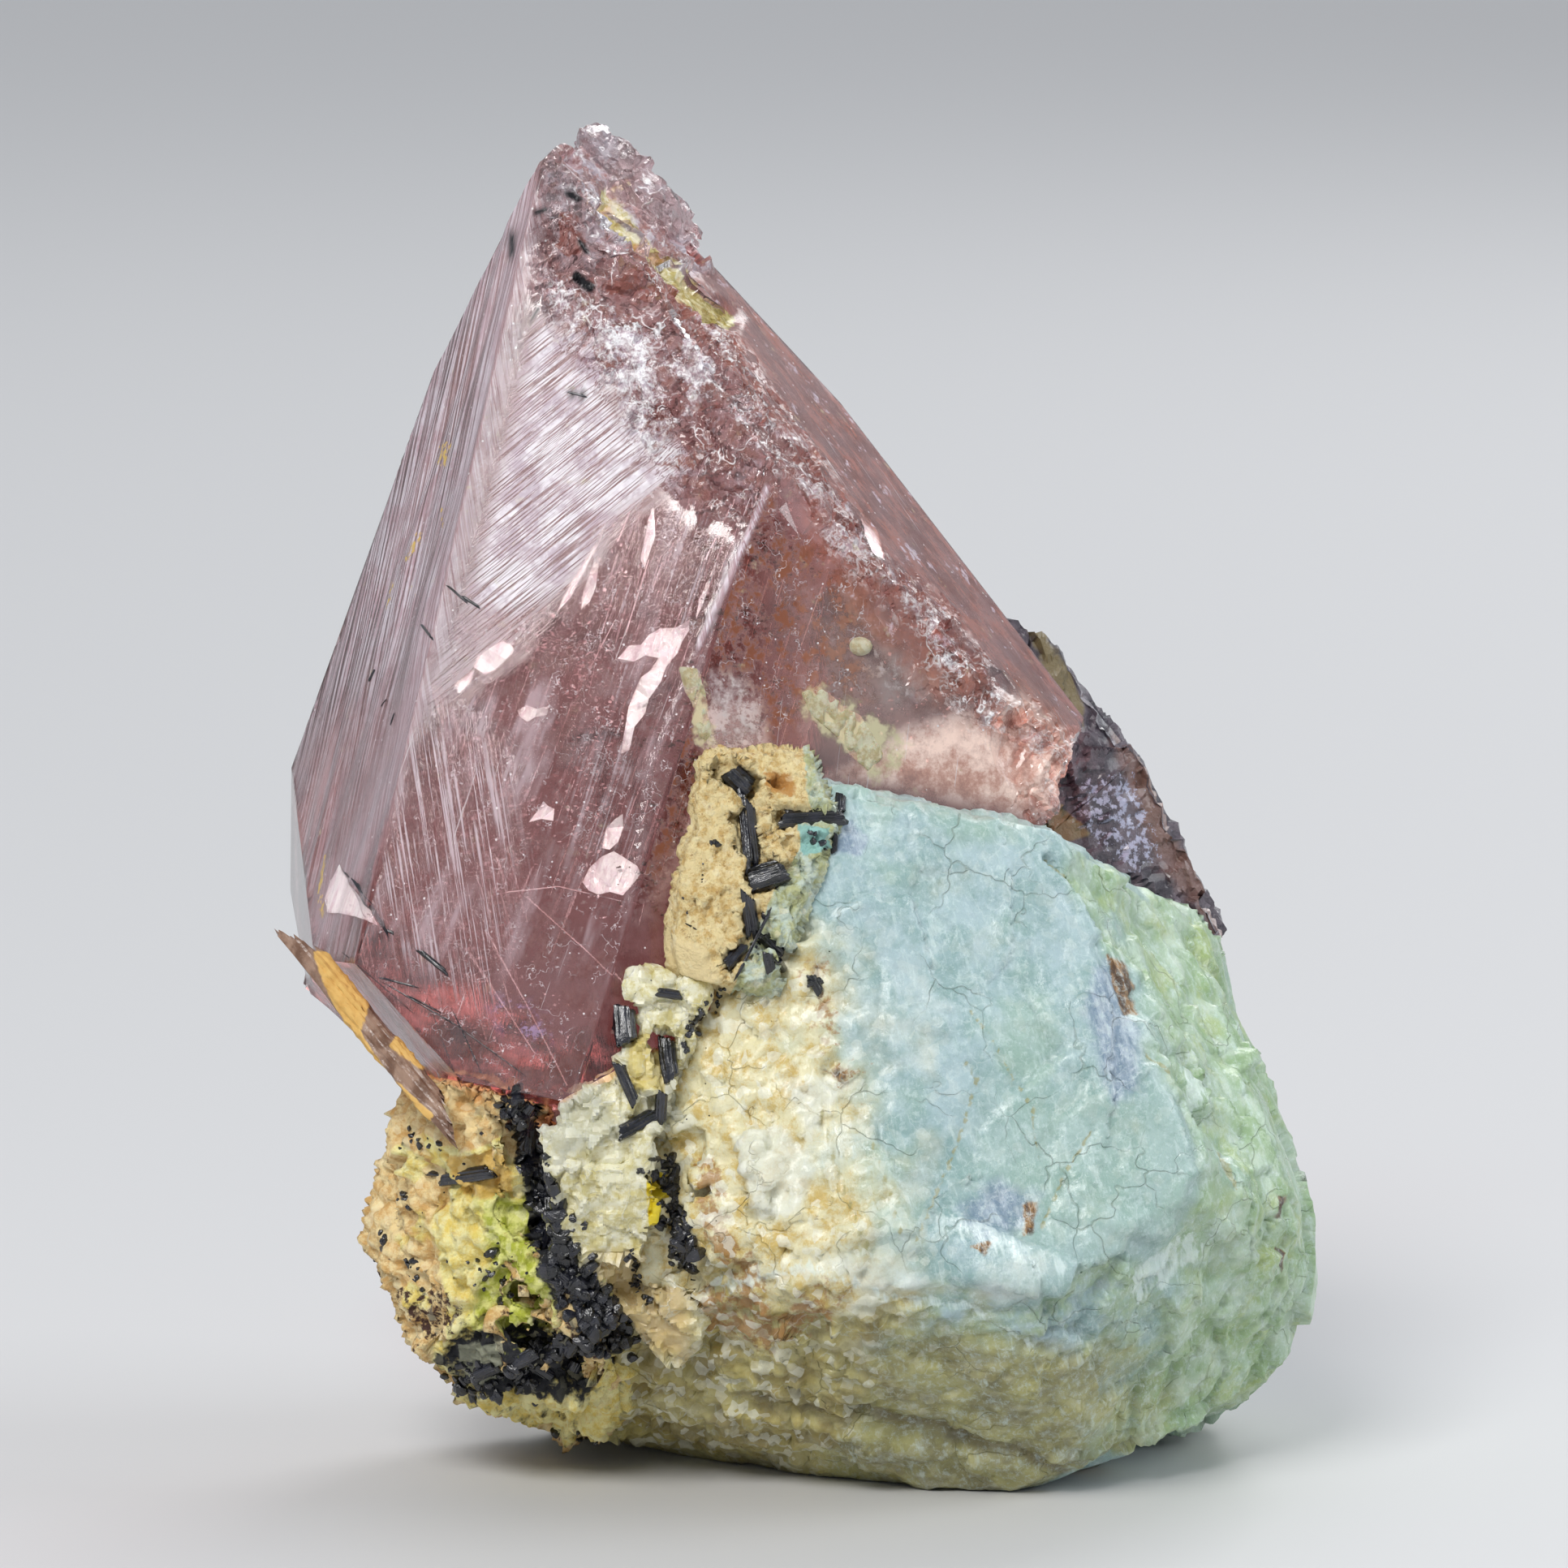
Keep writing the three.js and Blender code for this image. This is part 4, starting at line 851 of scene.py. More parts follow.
clouded = (onto["front_left"] * patch(uv, [(740, 640), (800, 600), (905, 640), (850, 800), (800, 900),
                                           (780, 1120), (700, 1130), (690, 980), (740, 860)], 60))
filmed = (seen * (onto["front_right"] > 0.2)
          * np.maximum(patch(uv, [(822, 812), (850, 822), (880, 860), (885, 920), (860, 930), (845, 870)],
                             14), patch(uv, [(978, 850), (1020, 850), (1115, 905), (1120, 950), (1080, 970),
                                             (1040, 930), (990, 885)], 20)))
veiled = (seen * (onto["front_right"] > 0.2) * (
              patch(uv, [(870, 825), (920, 835), (940, 880), (935, 920), (885, 915)], 20)
              + 0.8 * patch(uv, [(1060, 790), (1110, 810), (1140, 860), (1090, 870)], 30)))
# Salmon crystal on the right face and upper shoulder; the dark red-brown coat over it is partly painted
# shade.
salmon = np.maximum(onto["right"],
                    seen * patch(uv, [(950, 560), (1040, 600), (1240, 850), (1130, 870), (1020, 720)], 40))
stain(pink_crystal, "haze", lined, clouded, np.clip(salmon, 0, 1), onto["front_left"])
# Painted highlights: the crackled shoulder painted whiter where its facets catch the light.
highlight_paint = (0.62 * patch(uv,
                       [(655, 335), (720, 345), (800, 385), (860, 410), (880, 470), (830, 560), (775, 570),
                        (735, 480), (690, 410)], 50))
highlight_paint = (seen * np.clip(highlight_paint + 0.5 * stroke(
                             uv, [(668, 350), (715, 380), (780, 420), (804, 480), (790, 560)], 24, 44)
                         + 0.6 * stroke(uv, [(845, 420), (885, 475), (935, 545), (960, 600)], 10, 26)
                         + 0.45 * stroke(uv, [(745, 470), (785, 560), (840, 610), (905, 640)], 12, 30)
                         + 0.45 * nicks, 0, 1))
GLINTS = [
    ([(762, 812), (776, 796), (790, 795), (800, 783), (815, 775), (832, 774), (850, 765), (850, 778),
      (840, 792), (835, 806), (822, 822), (815, 840), (800, 862), (796, 880), (782, 896), (776, 925),
      (766, 930), (770, 900), (775, 872), (784, 850), (790, 835), (803, 826), (812, 812), (796, 808),
      (782, 816), (766, 818)], 0.35),
    ([(583, 822), (590, 808), (602, 800), (618, 790), (630, 794), (634, 802), (624, 814), (612, 826),
      (598, 832)], 0.4),
    ([(560, 845), (585, 826), (580, 842), (566, 856)], 0.4),
    ([(718, 1088), (728, 1070), (742, 1056), (757, 1050), (770, 1058), (786, 1068), (790, 1078), (778, 1094),
      (768, 1104), (752, 1100), (738, 1104), (726, 1098)], 0.45),
    ([(742, 1046), (748, 1022), (758, 1010), (768, 1004), (769, 1020), (762, 1038), (752, 1048)], 0.4),
    ([(652, 1014), (662, 1002), (670, 988), (676, 994), (684, 998), (682, 1012), (668, 1010)], 0.4),
    ([(638, 876), (650, 870), (662, 874), (677, 870), (675, 882), (660, 884), (650, 890), (641, 884)], 0.35),
    ([(716, 752), (720, 728), (727, 706), (734, 690), (738, 700), (735, 722), (728, 742)], 0.45),
    ([(400, 1108), (408, 1088), (418, 1065), (424, 1075), (436, 1092), (444, 1106), (456, 1120), (466, 1142),
      (452, 1134), (440, 1130), (420, 1126), (404, 1125)], 0.25),
    ([(686, 756), (700, 725), (722, 688), (748, 640), (744, 660), (722, 700), (704, 736)], 0.35),
    ([(800, 640), (806, 625), (808, 660), (795, 700), (790, 690)], 0.4),
    ([(880, 700), (886, 690), (870, 735), (858, 765), (862, 740)], 0.35),
    ([(1058, 640), (1078, 655), (1090, 690), (1076, 684), (1064, 664)], 0.3)]
# Painted highlights: in the glint outlines the crystal is tinted white and its coat cleared.
glint_paint = np.clip(sum(patch(uv, outline, 14) for outline, _ in GLINTS), 0, 1) * seen
stain(pink_crystal, "crusts", filmed, np.clip(veiled, 0, 1), np.clip(highlight_paint, 0, 1), glint_paint)
foot = onto["front_left"] * ease(uv[1], 1120, 1260)
# Ends: the knob, the lower front and, as painted highlight, a patch of purple glints near the foot.
stain(pink_crystal, "ends", knob, foot,
      onto["front_left"] * patch(uv, [(600, 1230), (640, 1225), (690, 1275), (650, 1290), (610, 1262)], 40))

# A flat map of every face in mm, for the streaks. The faces lie apart in it, so none runs on.
uvs = pink_crystal.data.uv_layers.new(name="face_mm")
flats = np.array(list(FACES.values()))
nearest = (numbers(pink_crystal.data.polygons, "normal") @ flats.T).argmax(1)
nearest = np.repeat(nearest, numbers(pink_crystal.data.polygons, "loop_total", 1, np.int32))
steep = np.array(
    [(-3.4, -4.5, -14.5), (0, 0.33, 0.94), (-0.2, 0.1, 0.97), (-0.6, 0.1, 0.75), (0.5, -0.1, -0.8),
     (0, -0.2, 0.97), (-0.3, 0.1, 0.9), (0, 0.1, 0.97), (-0.3, 0, 0.9), (1, -0.3, 0.5)])
steep /= np.linalg.norm(steep, axis=1)[:, None]
across = np.cross(steep, flats)
across /= np.linalg.norm(across, axis=1)[:, None]
place = spots(pink_crystal)[numbers(pink_crystal.data.loops, "vertex_index", 1, np.int32)]
apart = 60
sideways, upwards = (place * across[nearest]).sum(1), (place * steep[nearest]).sum(1) + apart * nearest
uvs.data.foreach_set("uv", np.stack([sideways, upwards], 1).ravel())

tree, taken, given = group("streaks", {"Where": None, "Turn": 0.0, "Fine": 6.0, "Long": 0.12}, ["Height"])
streaks = tree
turned = put("VectorRotate", {"rotation_type": "Z_AXIS"}, Vector=taken["Where"],
             Angle=taken["Turn"]).outputs[0]
drawn = vectors("MULTIPLY", turned, put("CombineXYZ", X=taken["Fine"], Y=taken["Long"], Z=1.0).outputs[0])
tree.links.new(
    put("TexNoise", Vector=drawn, Scale=1.0, Detail=3.0, Roughness=0.65).outputs["Fac"], given["Height"])

tree, taken, given = group("wisps", {"Where": None, "Size": 900.0, "Thin": 0.03}, ["Mask"])
wisps = tree
curl = put("TexNoise", Vector=taken["Where"], Scale=taken["Size"], Detail=3.0, Roughness=0.62)
thread = sums("DIVIDE", sums("ABSOLUTE", less(curl.outputs["Fac"], 0.5)), taken["Thin"])
thread = sums("SUBTRACT", 1.0, thread, limit=True)
torn = between(put("SeparateColor", Color=curl.outputs["Color"]).outputs[1], 0.44, 0.58)
tree.links.new(times(thread, torn), given["Mask"])

pink_finish, tree, shader, where = finish_of("morganite")
etched_sheen_mask, frosty, crushed, irony = masks("skin")
painted_glow, olive, bare, pitted = masks("body")
edging, rusted, yellowed, rear_side = masks("trace")
lined, clouded, salmon, facing = masks("haze")
filmed, veiled, highlight_paint, glint_paint = masks("crusts")
glint_paint = frayed(glint_paint, 1800.0, 0.7, 0.2)
knobby, low, violet, _ = masks("ends")
flat = put("UVMap", {"uv_map": "face_mm"}).outputs[0]


def streaked(degrees, fine, long):
    """Streaks along the faces, turned from upright, fine across and long lengthwise."""
    return placed(streaks, Where=flat, Turn=math.radians(degrees), Fine=fine, Long=long)["Height"]


upright = streaked(0, 5.0, 0.10)
hatched = streaked(52, 16.0, 0.30)
banded = streaked(2.3, 1.5, 0.10)
leaning = streaked(18, 8.0, 0.10)
combed = streaked(-9, 10.0, 0.14)
bands = streaked(20, 0.8, 0.14)
scratch = streaked(19, 9.0, 0.14)
ripples = cloud(0.35, 5, 0.7)
mottle = cloud(1.5, 6, 0.74)
flecks = cloud(0.5, 4, 0.75)
# Painted shade: the front-left face darker in mottled patches, most towards its lower end.
mottled_lower_shade = times(facing, rest(etched_sheen_mask), plus(between(mottle, 0.46, 0.58), times(low, 0.5), limit=True))

tone = tinted((0.96, 0.86, 0.87), (0.62, 0.40, 0.38), between(mottle, 0.40, 0.62))
tone = tinted(tone, (0.82, 0.56, 0.52), times(rear_side, 0.7))
tone = tinted(tone, (0.46, 0.25, 0.23), times(mottled_lower_shade, 0.6))
tone = tinted(tone, (0.30, 0.08, 0.04), times(irony, 0.95))
tone = tinted(tone, (0.78, 0.36, 0.28), times(salmon, 0.8))
tone = tinted(tone, (0.45, 0.17, 0.12), times(frayed(rusted, 1500.0, 1.1), 0.8))
# Painted glow: peach at the right-hand end.
tone = tinted(tone, (0.98, 0.66, 0.52), times(painted_glow, 0.9))
tone = tinted(tone, (0.95, 0.74, 0.70), times(bare, 0.9))
tone = tinted(tone, (0.93, 0.91, 0.94), times(knobby, 0.8))
# Painted highlight: white in the glints.
tone = tinted(tone, (1.0, 0.98, 0.99), glint_paint)
height = plus(times(upright, rest(times(salmon, 0.9)), plus(0.25, frosty)), times(hatched, etched_sheen_mask, 1.3))
height = plus(height, plus(times(leaning, 0.18), times(combed, most(times(lined, 0.8), times(edging, 1.6)))))
height = plus(height, times(ripples, plus(0.10, times(crushed, 0.9))))
etched = put("Bump", Strength=1.0, Distance=0.00004, Height=height).outputs[0]
bent = vectors("MULTIPLY_ADD", put("TexNoise", Vector=where, Scale=1500.0, Detail=2.0).outputs["Color"],
               (0.0006, 0.0006, 0.0006), where)
shard = put("TexVoronoi", Vector=bent, Scale=2400.0).outputs["Color"]
shard = put("VectorMath", {"operation": "SCALE"}, i0=vectors("SUBTRACT", shard, (0.5, 0.5, 0.5)),
            Scale=times(crushed, 0.9)).outputs[0]
broken = vectors("NORMALIZE", vectors("ADD", etched, shard))
give(shader, Base_Color=tone, Normal=broken, Roughness=graded(most(frosty, times(etched_sheen_mask, 0.7)), 0.03, 0.22),
     Transmission_Weight=0.96, IOR=1.58, Specular_IOR_Level=0.32)

paint, cover = (0.60, 0.45, 0.48), 0.0


def coat(colour, mask, thick):
    """One more layer of the dull coat over the clear crystal."""
    global paint, cover
    paint, cover = tinted(paint, colour, mask), most(cover, times(mask, thick))


coat(tinted((0.22, 0.10, 0.095), (0.38, 0.21, 0.20), between(ripples, 0.42, 0.6)), mottled_lower_shade, 0.24)
# Pale bands on the front-left face, fewer towards its lower end as painted shade.
coat((0.72, 0.58, 0.64), times(less(facing, times(low, 0.8)), between(bands, 0.48, 0.68)), 0.34)
coat((0.74, 0.62, 0.68), times(clouded, between(plus(times(leaning, 0.5), times(mottle, 0.5)), 0.48, 0.60)),
     0.36)
coat((0.80, 0.70, 0.77), times(lined, between(plus(times(combed, 0.75), times(mottle, 0.25)), 0.48, 0.60)),
     0.48)
coat(tinted((0.96, 0.87, 0.96), (0.66, 0.45, 0.51),
            between(plus(times(mottle, 0.6), times(combed, 0.4)), 0.44, 0.58)),
     times(frosty, between(upright, 0.34, 0.60)), 0.74)
# Painted reflection: silver-white over the etched zone, broken by the hatch.
coat(tinted((0.60, 0.51, 0.59), (0.94, 0.91, 0.97), between(cloud(1.5, 5, 0.7), 0.40, 0.56)),
     times(etched_sheen_mask, rest(times(between(hatched, 0.48, 0.58), 0.85))), 0.84)
coat((0.46, 0.27, 0.26), times(rear_side, between(mottle, 0.46, 0.66)), 0.36)
freckles = between(put("TexVoronoi", Vector=where, Scale=2600.0).outputs["Distance"], 0.42, 0.20)
coat((0.10, 0.028, 0.018), times(irony, freckles, between(cloud(1.4, 4, 0.7), 0.42, 0.58)), 0.75)
coat((0.25, 0.09, 0.045), times(irony, between(cloud(0.7, 5, 0.75), 0.42, 0.60)), 0.66)
# Dark red-brown over the salmon: crystal colour, deepened as painted shade of the right face.
coat(tinted((0.15, 0.035, 0.022), (0.38, 0.14, 0.105),
            between(plus(times(banded, 0.4), times(cloud(1.6, 6, 0.72), 0.6)), 0.42, 0.58)),
     times(salmon, graded(mottle, 0.6, 1.0, 0.35, 0.65)), 0.80)
coat((0.78, 0.66, 0.76), times(salmon, between(cloud(1.2, 5, 0.7), 0.59, 0.68)), 0.62)
# Painted glow: dark red-brown at its edge, bright peach within.
coat(tinted((0.34, 0.13, 0.07), tinted((0.86, 0.42, 0.27), (1.0, 0.76, 0.66), between(mottle, 0.38, 0.56)),
            between(painted_glow, 0.35, 0.75)),
     times(painted_glow, graded(mottle, 0.5, 1.0, 0.35, 0.60)), 0.78)
coat((0.84, 0.64, 0.60), bare, 0.25)
glassy = rest(times(knobby, 0.75))
coat((0.32, 0.145, 0.12), times(crushed, glassy, between(cloud(0.8, 4, 0.7), 0.44, 0.58)), 0.50)
coat((0.56, 0.53, 0.60), times(knobby, between(mottle, 0.44, 0.58)), 0.36)
# Painted highlights: white clumps and thin white lines over the crackled zone.
highlight_clumps = between(plus(cloud(1.3, 7, 0.80), times(less(highlight_paint, 0.45), 0.20)), 0.49, 0.60)
coat(tinted((0.58, 0.53, 0.64), (0.98, 0.98, 1.0), between(cloud(0.25, 5, 0.8), 0.40, 0.56)),
     times(crushed, highlight_clumps, graded(flecks, 0.55, 1.0, 0.38, 0.60)), 0.94)
highlight_filigree = most(placed(wisps, Where=where, Size=420.0, Thin=0.016)["Mask"],
                placed(wisps, Where=bent, Size=1000.0, Thin=0.030)["Mask"])
coat((0.97, 0.98, 1.0),
     times(crushed, highlight_filigree, plus(0.35, plus(between(mottle, 0.44, 0.60), highlight_paint), limit=True)), 0.95)
fibres = placed(wisps, Where=where, Size=1300.0, Thin=0.014)["Mask"]
coat((0.88, 0.82, 0.86), times(most(facing, irony), fibres), 0.5)
coat(tinted((0.50, 0.34, 0.38), (0.88, 0.78, 0.86), between(combed, 0.44, 0.56)), edging, 0.80)
coat((0.93, 0.88, 0.92), between(scratch, 0.66, 0.70), 0.35)
# Painted highlight: purple glints near the foot.
coat((0.52, 0.36, 0.62), times(violet, between(flecks, 0.45, 0.6)), 0.5)
coat((0.95, 0.92, 0.95),
     sums("LESS_THAN", put("TexVoronoi", Vector=where, Scale=1700.0).outputs["Distance"], 0.07), 0.6)
coat((0.30, 0.12, 0.10), times(frayed(rusted, 1500.0, 1.1), rest(highlight_filigree)), 0.6)
coat((0.66, 0.62, 0.62), times(veiled, graded(ripples, 0.1, 1.0, 0.35, 0.65)), 0.7)
coat((0.78, 0.73, 0.47), frayed(times(filmed, 0.60), 1300.0, 2.0, 0.25), 0.60)
depth_of_groove = between(put("SeparateXYZ", Vector=where).outputs["Z"], 0.0415, 0.0450)
coat(tinted(tinted((0.24, 0.19, 0.01), (0.55, 0.47, 0.10), between(flecks, 0.42, 0.58)),
            tinted((0.60, 0.55, 0.22), (0.84, 0.84, 0.66), between(flecks, 0.42, 0.58)), depth_of_groove),
     frayed(times(olive, 0.85), 1500.0, 1.0), 0.75)
coat((0.66, 0.45, 0.12), frayed(times(yellowed, 0.6), 3000.0, 1.6), 1.0)
coat((0.01, 0.01, 0.012), pitted, 1.0)
cover = times(cover, rest(times(glint_paint, 0.9)))
dull = put(
    "BsdfPrincipled", Base_Color=paint, Roughness=0.26, IOR=1.58, Specular_IOR_Level=0.3, Normal=broken)
surface = put("MixShader", i0=cover, i1=shader.outputs[0], i2=dull.outputs[0]).outputs[0]
lit = put("MixShader", i0=put("LightPath").outputs["Is Shadow Ray"], i1=surface,
          i2=put("BsdfTransparent", Color=(0.93, 0.80, 0.78)).outputs[0]).outputs[0]
tree.links.new(lit, tree.nodes["Material Output"].inputs["Surface"])
tree.links.new(put("VolumeAbsorption", Color=(0.68, 0.40, 0.39), Density=200.0).outputs[0],
               tree.nodes["Material Output"].inputs["Volume"])
pink_crystal.data.materials.append(pink_finish)


# ---------------------------------------------------------------------------------------------
# Smoky crystal. A dark grey-violet crystal, nearly opaque, grown behind the pink one's right end
# and down to the rock. Its broken top and front are pitted and sparkle.
# ---------------------------------------------------------------------------------------------

smoky_crystal = rough_out("smoky", "smoky_crystal")
fine_mesh(smoky_crystal, 0.28)
place, way = spots(smoky_crystal), outward(smoky_crystal)
uv = front(place)
seen = ease(-(way @ AHEAD), 0.0, 0.2)
relief = (0.6 * flakes(place * (1, 1, 0.6), 2.2, 71, 0.25) + 0.5 * flakes(place, 0.9, 72, 0.35)
          + 0.05 * swell(place, 0.6, 73) - 0.15)
neighbour = solid_tree(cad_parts["morganite_crystal"])
near_it = np.array([neighbour.find_nearest(Vector(at), 1.0)[0] is not None for at in place])
relief = np.where(near_it, -np.abs(relief), relief)
settle(smoky_crystal, place + way * relief[:, None])
smooth(smoky_crystal, 16)
stain(smoky_crystal, "skin",
      patch(uv, [(1330, 960), (1400, 950), (1440, 1050), (1400, 1075), (1320, 1010)], 30) * seen,
      seen * patch(uv, [(1260, 750), (1330, 830), (1345, 900), (1290, 850)], 30),
      seen * patch(uv, [(1270, 1000), (1310, 990), (1350, 1030), (1290, 1040)], 20),
      seen * stroke(uv, [(1400, 915), (1440, 1030), (1495, 1100), (1512, 1150)], 50, 40))

smoky_finish, tree, shader, where = finish_of("smoky")
glint, brownish, mossy, rim = masks("skin")
tone = tinted((0.045, 0.038, 0.055), (0.16, 0.13, 0.16), between(cloud(1.0, 5, 0.7), 0.38, 0.62))
tone = tinted(tone, (0.26, 0.20, 0.08), times(frayed(most(mossy, times(brownish, 0.8)), 1000.0, 0.9), 0.8))
tone = tinted(tone, (0.42, 0.20, 0.11), times(frayed(rim, 900.0, 1.3, 0.4), 0.35))
sparks = times(frayed(times(glint, 0.44), 3600.0, 2.2), 0.85)
tone = tinted(tone, (0.52, 0.55, 0.74), sparks)
height = plus(cloud(0.5, 6, 0.7), times(placed(grit, Where=where, Size=2300.0)["Height"], 0.6))
bump(shader, height, 1.0, 0.00010)
give(shader, Base_Color=tone, Roughness=graded(cloud(0.6, 3), 0.08, 0.34), Transmission_Weight=0.15, IOR=1.56,
     Coat_Weight=0.4, Coat_Roughness=0.06)
tree.links.new(put("VolumeAbsorption", Color=(0.35, 0.25, 0.22), Density=500.0).outputs[0],
               tree.nodes["Material Output"].inputs["Volume"])
smoky_crystal.data.materials.append(smoky_finish)


# ---------------------------------------------------------------------------------------------
# Black tourmaline. Single fluted prisms with broken ends, half sunk in crust, plates and clay.
# One prism is modelled and copied to each place, stretched to that prism's own length and width.
# ---------------------------------------------------------------------------------------------

bpy.ops.object.select_all(action="DESELECT")
sides_round = 27
bpy.ops.mesh.primitive_cylinder_add(vertices=sides_round, radius=0.5, depth=1, end_fill_type="NGON")
fluted_prism = bpy.context.object
bpy.ops.object.mode_set(mode="EDIT")
for level, tilt in ((0.43, 0.25), (0.28, 0.1), (-0.05, -0.1), (-0.3, 0.15), (-0.44, -0.2)):
    bpy.ops.mesh.select_all(action="SELECT")
    bpy.ops.mesh.bisect(plane_co=(0, 0, level), plane_no=(tilt * 0.3, tilt * 0.2, 1))
bpy.ops.mesh.select_all(action="DESELECT")
bpy.ops.object.mode_set(mode="OBJECT")
for side in fluted_prism.data.polygons:
    side.select = abs(side.normal.z) > 0.9
bpy.context.tool_settings.mesh_select_mode = (False, False, True)
bpy.ops.object.mode_set(mode="EDIT")
bpy.ops.mesh.inset(thickness=0.08, depth=0.03)
bpy.ops.mesh.inset(thickness=0.12, depth=-0.02)
bpy.ops.mesh.poke()
bpy.ops.object.mode_set(mode="OBJECT")
dice = random.Random(5)
for vertex in fluted_prism.data.vertices:
    turn = math.atan2(vertex.co.y, vertex.co.x)
    out = math.hypot(vertex.co.x, vertex.co.y)
    step = round(turn / math.tau * sides_round)
    flute = 1 + 0.07 * math.cos(3 * turn) + 0.03 * math.cos(9 * turn + 0.6) + (0.035 if step % 2 else -0.025)
    flute *= 1 + 0.04 * math.sin(7 * vertex.co.z + 1.3 * step) - (0.06 if abs(vertex.co.z) > 0.42 else 0)
    if out > 0.15:
        vertex.co.x, vertex.co.y = vertex.co.x * flute, vertex.co.y * flute
    if abs(vertex.co.z) > 0.45:
        vertex.co.z += ((dice.uniform(-0.07, 0.02) - 0.10 * math.cos(turn + 0.8))
                        * (1 if vertex.co.z > 0 else -1))


def stand(model, name, ends, material=None, node=None):
    """Copies of a model of unit size, stretched from end to end with their width, as one piece."""
    corners = np.array([v.co for v in model.data.vertices])
    sides = [list(p.vertices) for p in model.data.polygons]
    all_corners, all_sides, own = [], [], []
    for i, (start, stop, wide) in enumerate(ends):
        start, stop = np.array(start, float), np.array(stop, float)
        along = stop - start
        long = np.linalg.norm(along)
        along /= long
        aside = np.cross(along, (0.3, 0.9, 0.2 + i * 0.37))
        aside /= np.linalg.norm(aside)
        above = np.cross(along, aside)
        shape = (np.outer(corners[:, 0] * wide, aside) + np.outer(corners[:, 1] * wide, above)
                 + np.outer(corners[:, 2] * long, along) + (start + stop) / 2)
        all_sides += [[len(all_corners) + k for k in side] for side in sides]
        all_corners += list(shape / 1000)
        own.append(corners * (wide, wide, long) + i * 1.7)
    mesh = bpy.data.meshes.new(name)
    mesh.from_pydata(all_corners, [], all_sides)
    mesh.attributes.new("own_mm", "FLOAT_VECTOR",
                        "POINT").data.foreach_set("vector", np.concatenate(own).ravel())
    piece = new_piece(name, mesh)
    on_all_faces(piece, bpy.ops.mesh.normals_make_consistent, inside=False)
    smooth(piece, 12)
    if material:
        mesh.materials.append(material)
    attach(piece, "root")
    if node:
        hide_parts(node)
    return piece


schorl_finish, tree, shader, where = finish_of("schorl")
along = vectors("MULTIPLY", put("Attribute", {"attribute_name": "own_mm"}).outputs["Vector"], (9.0, 9.0, 0.5))
flutes = put("TexNoise", Vector=along, Scale=1.0, Detail=3.0, Roughness=0.6).outputs["Fac"]
tone = tinted((0.002, 0.0025, 0.004), (0.014, 0.015, 0.024), between(cloud(0.5, 4), 0.4, 0.62))
# Painted highlight: lighter streaks along the flutes.
tone = tinted(tone, (0.07, 0.07, 0.08), times(between(flutes, 0.62, 0.70), 0.5))
tone = tinted(tone, (0.20, 0.17, 0.10), times(between(cloud(0.22, 5, 0.7), 0.63, 0.72), 0.6))
height = plus(times(flutes, 1.2), times(cloud(0.16, 5, 0.65), 0.5))
bump(shader, height, 0.9, 0.00004)
give(shader, Base_Color=tone, Roughness=graded(cloud(0.4, 3), 0.03, 0.16), IOR=1.64, Specular_IOR_Level=0.6)

ground = solid_tree(feldspar_rock, albite_plates, ochre_clay, ochre_crust,
                    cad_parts["morganite_crystal"])


def lying(u0, v0, u1, v1, wide, proud=0.22):
    """A prism on the ground between two points of the front view, proud by part of its width."""
    (start, up), (stop, up_too) = lay(ground, u0, v0), lay(ground, u1, v1)
    lift = (up + up_too - 2 * Vector(AHEAD)).normalized() * wide * (proud - 0.1)
    return start + lift, stop + lift, wide


for name, ends in {"barrel": [lying(902, 952, 925, 975, 0.84, 0.4)],
                   "upper": [lying(914, 982, 922, 1068, 0.36), lying(924, 992, 932, 1062, 0.34)],
                   "hub": [lying(926, 1086, 967, 1073, 0.95, 0.35)],
                   "lower": [lying(917, 1100, 923, 1150, 0.30), lying(924, 1106, 932, 1152, 0.32),
                             lying(946, 1127, 909, 1200, 0.12, 0.6)],
                   "level": [lying(963, 1010, 1034, 1006, 0.76, 0.3)],
                   "stub": [lying(1035, 982, 1034, 1002, 0.40), lying(1029, 1028, 1027, 1050, 0.22)],
                   "lodged": [lying(940, 1150, 962, 1172, 0.55), lying(946, 1174, 950, 1196, 0.38),
                              lying(958, 1183, 965, 1194, 0.3)],
                   "chip": [lying(895, 1190, 914, 1168, 0.46)],
                   "speck": [lying(999, 1202, 1010, 1223, 0.34), lying(995, 1212, 1012, 1208, 0.28)],
                   "block": [lying(768, 1244, 771, 1286, 0.80), lying(760, 1262, 780, 1276, 0.5),
                             lying(810, 1222, 838, 1226, 0.34)],
                   "post": [lying(820, 1282, 826, 1330, 0.62), lying(762, 1312, 782, 1358, 0.40)],
                   "peg": [lying(763, 1396, 806, 1372, 0.54, 0.35), lying(814, 1346, 812, 1384, 0.44)],
                   "bar": [lying(551, 1451, 606, 1443, 0.56, 0.35)]}.items():
    stand(fluted_prism, "tourmaline_" + name, ends, schorl_finish, "schorl_" + name)


# ---------------------------------------------------------------------------------------------
# Seams. Matted black tourmaline in the joints on both sides of the plates: short prisms and
# broken lumps, pressed together and half buried.
# ---------------------------------------------------------------------------------------------

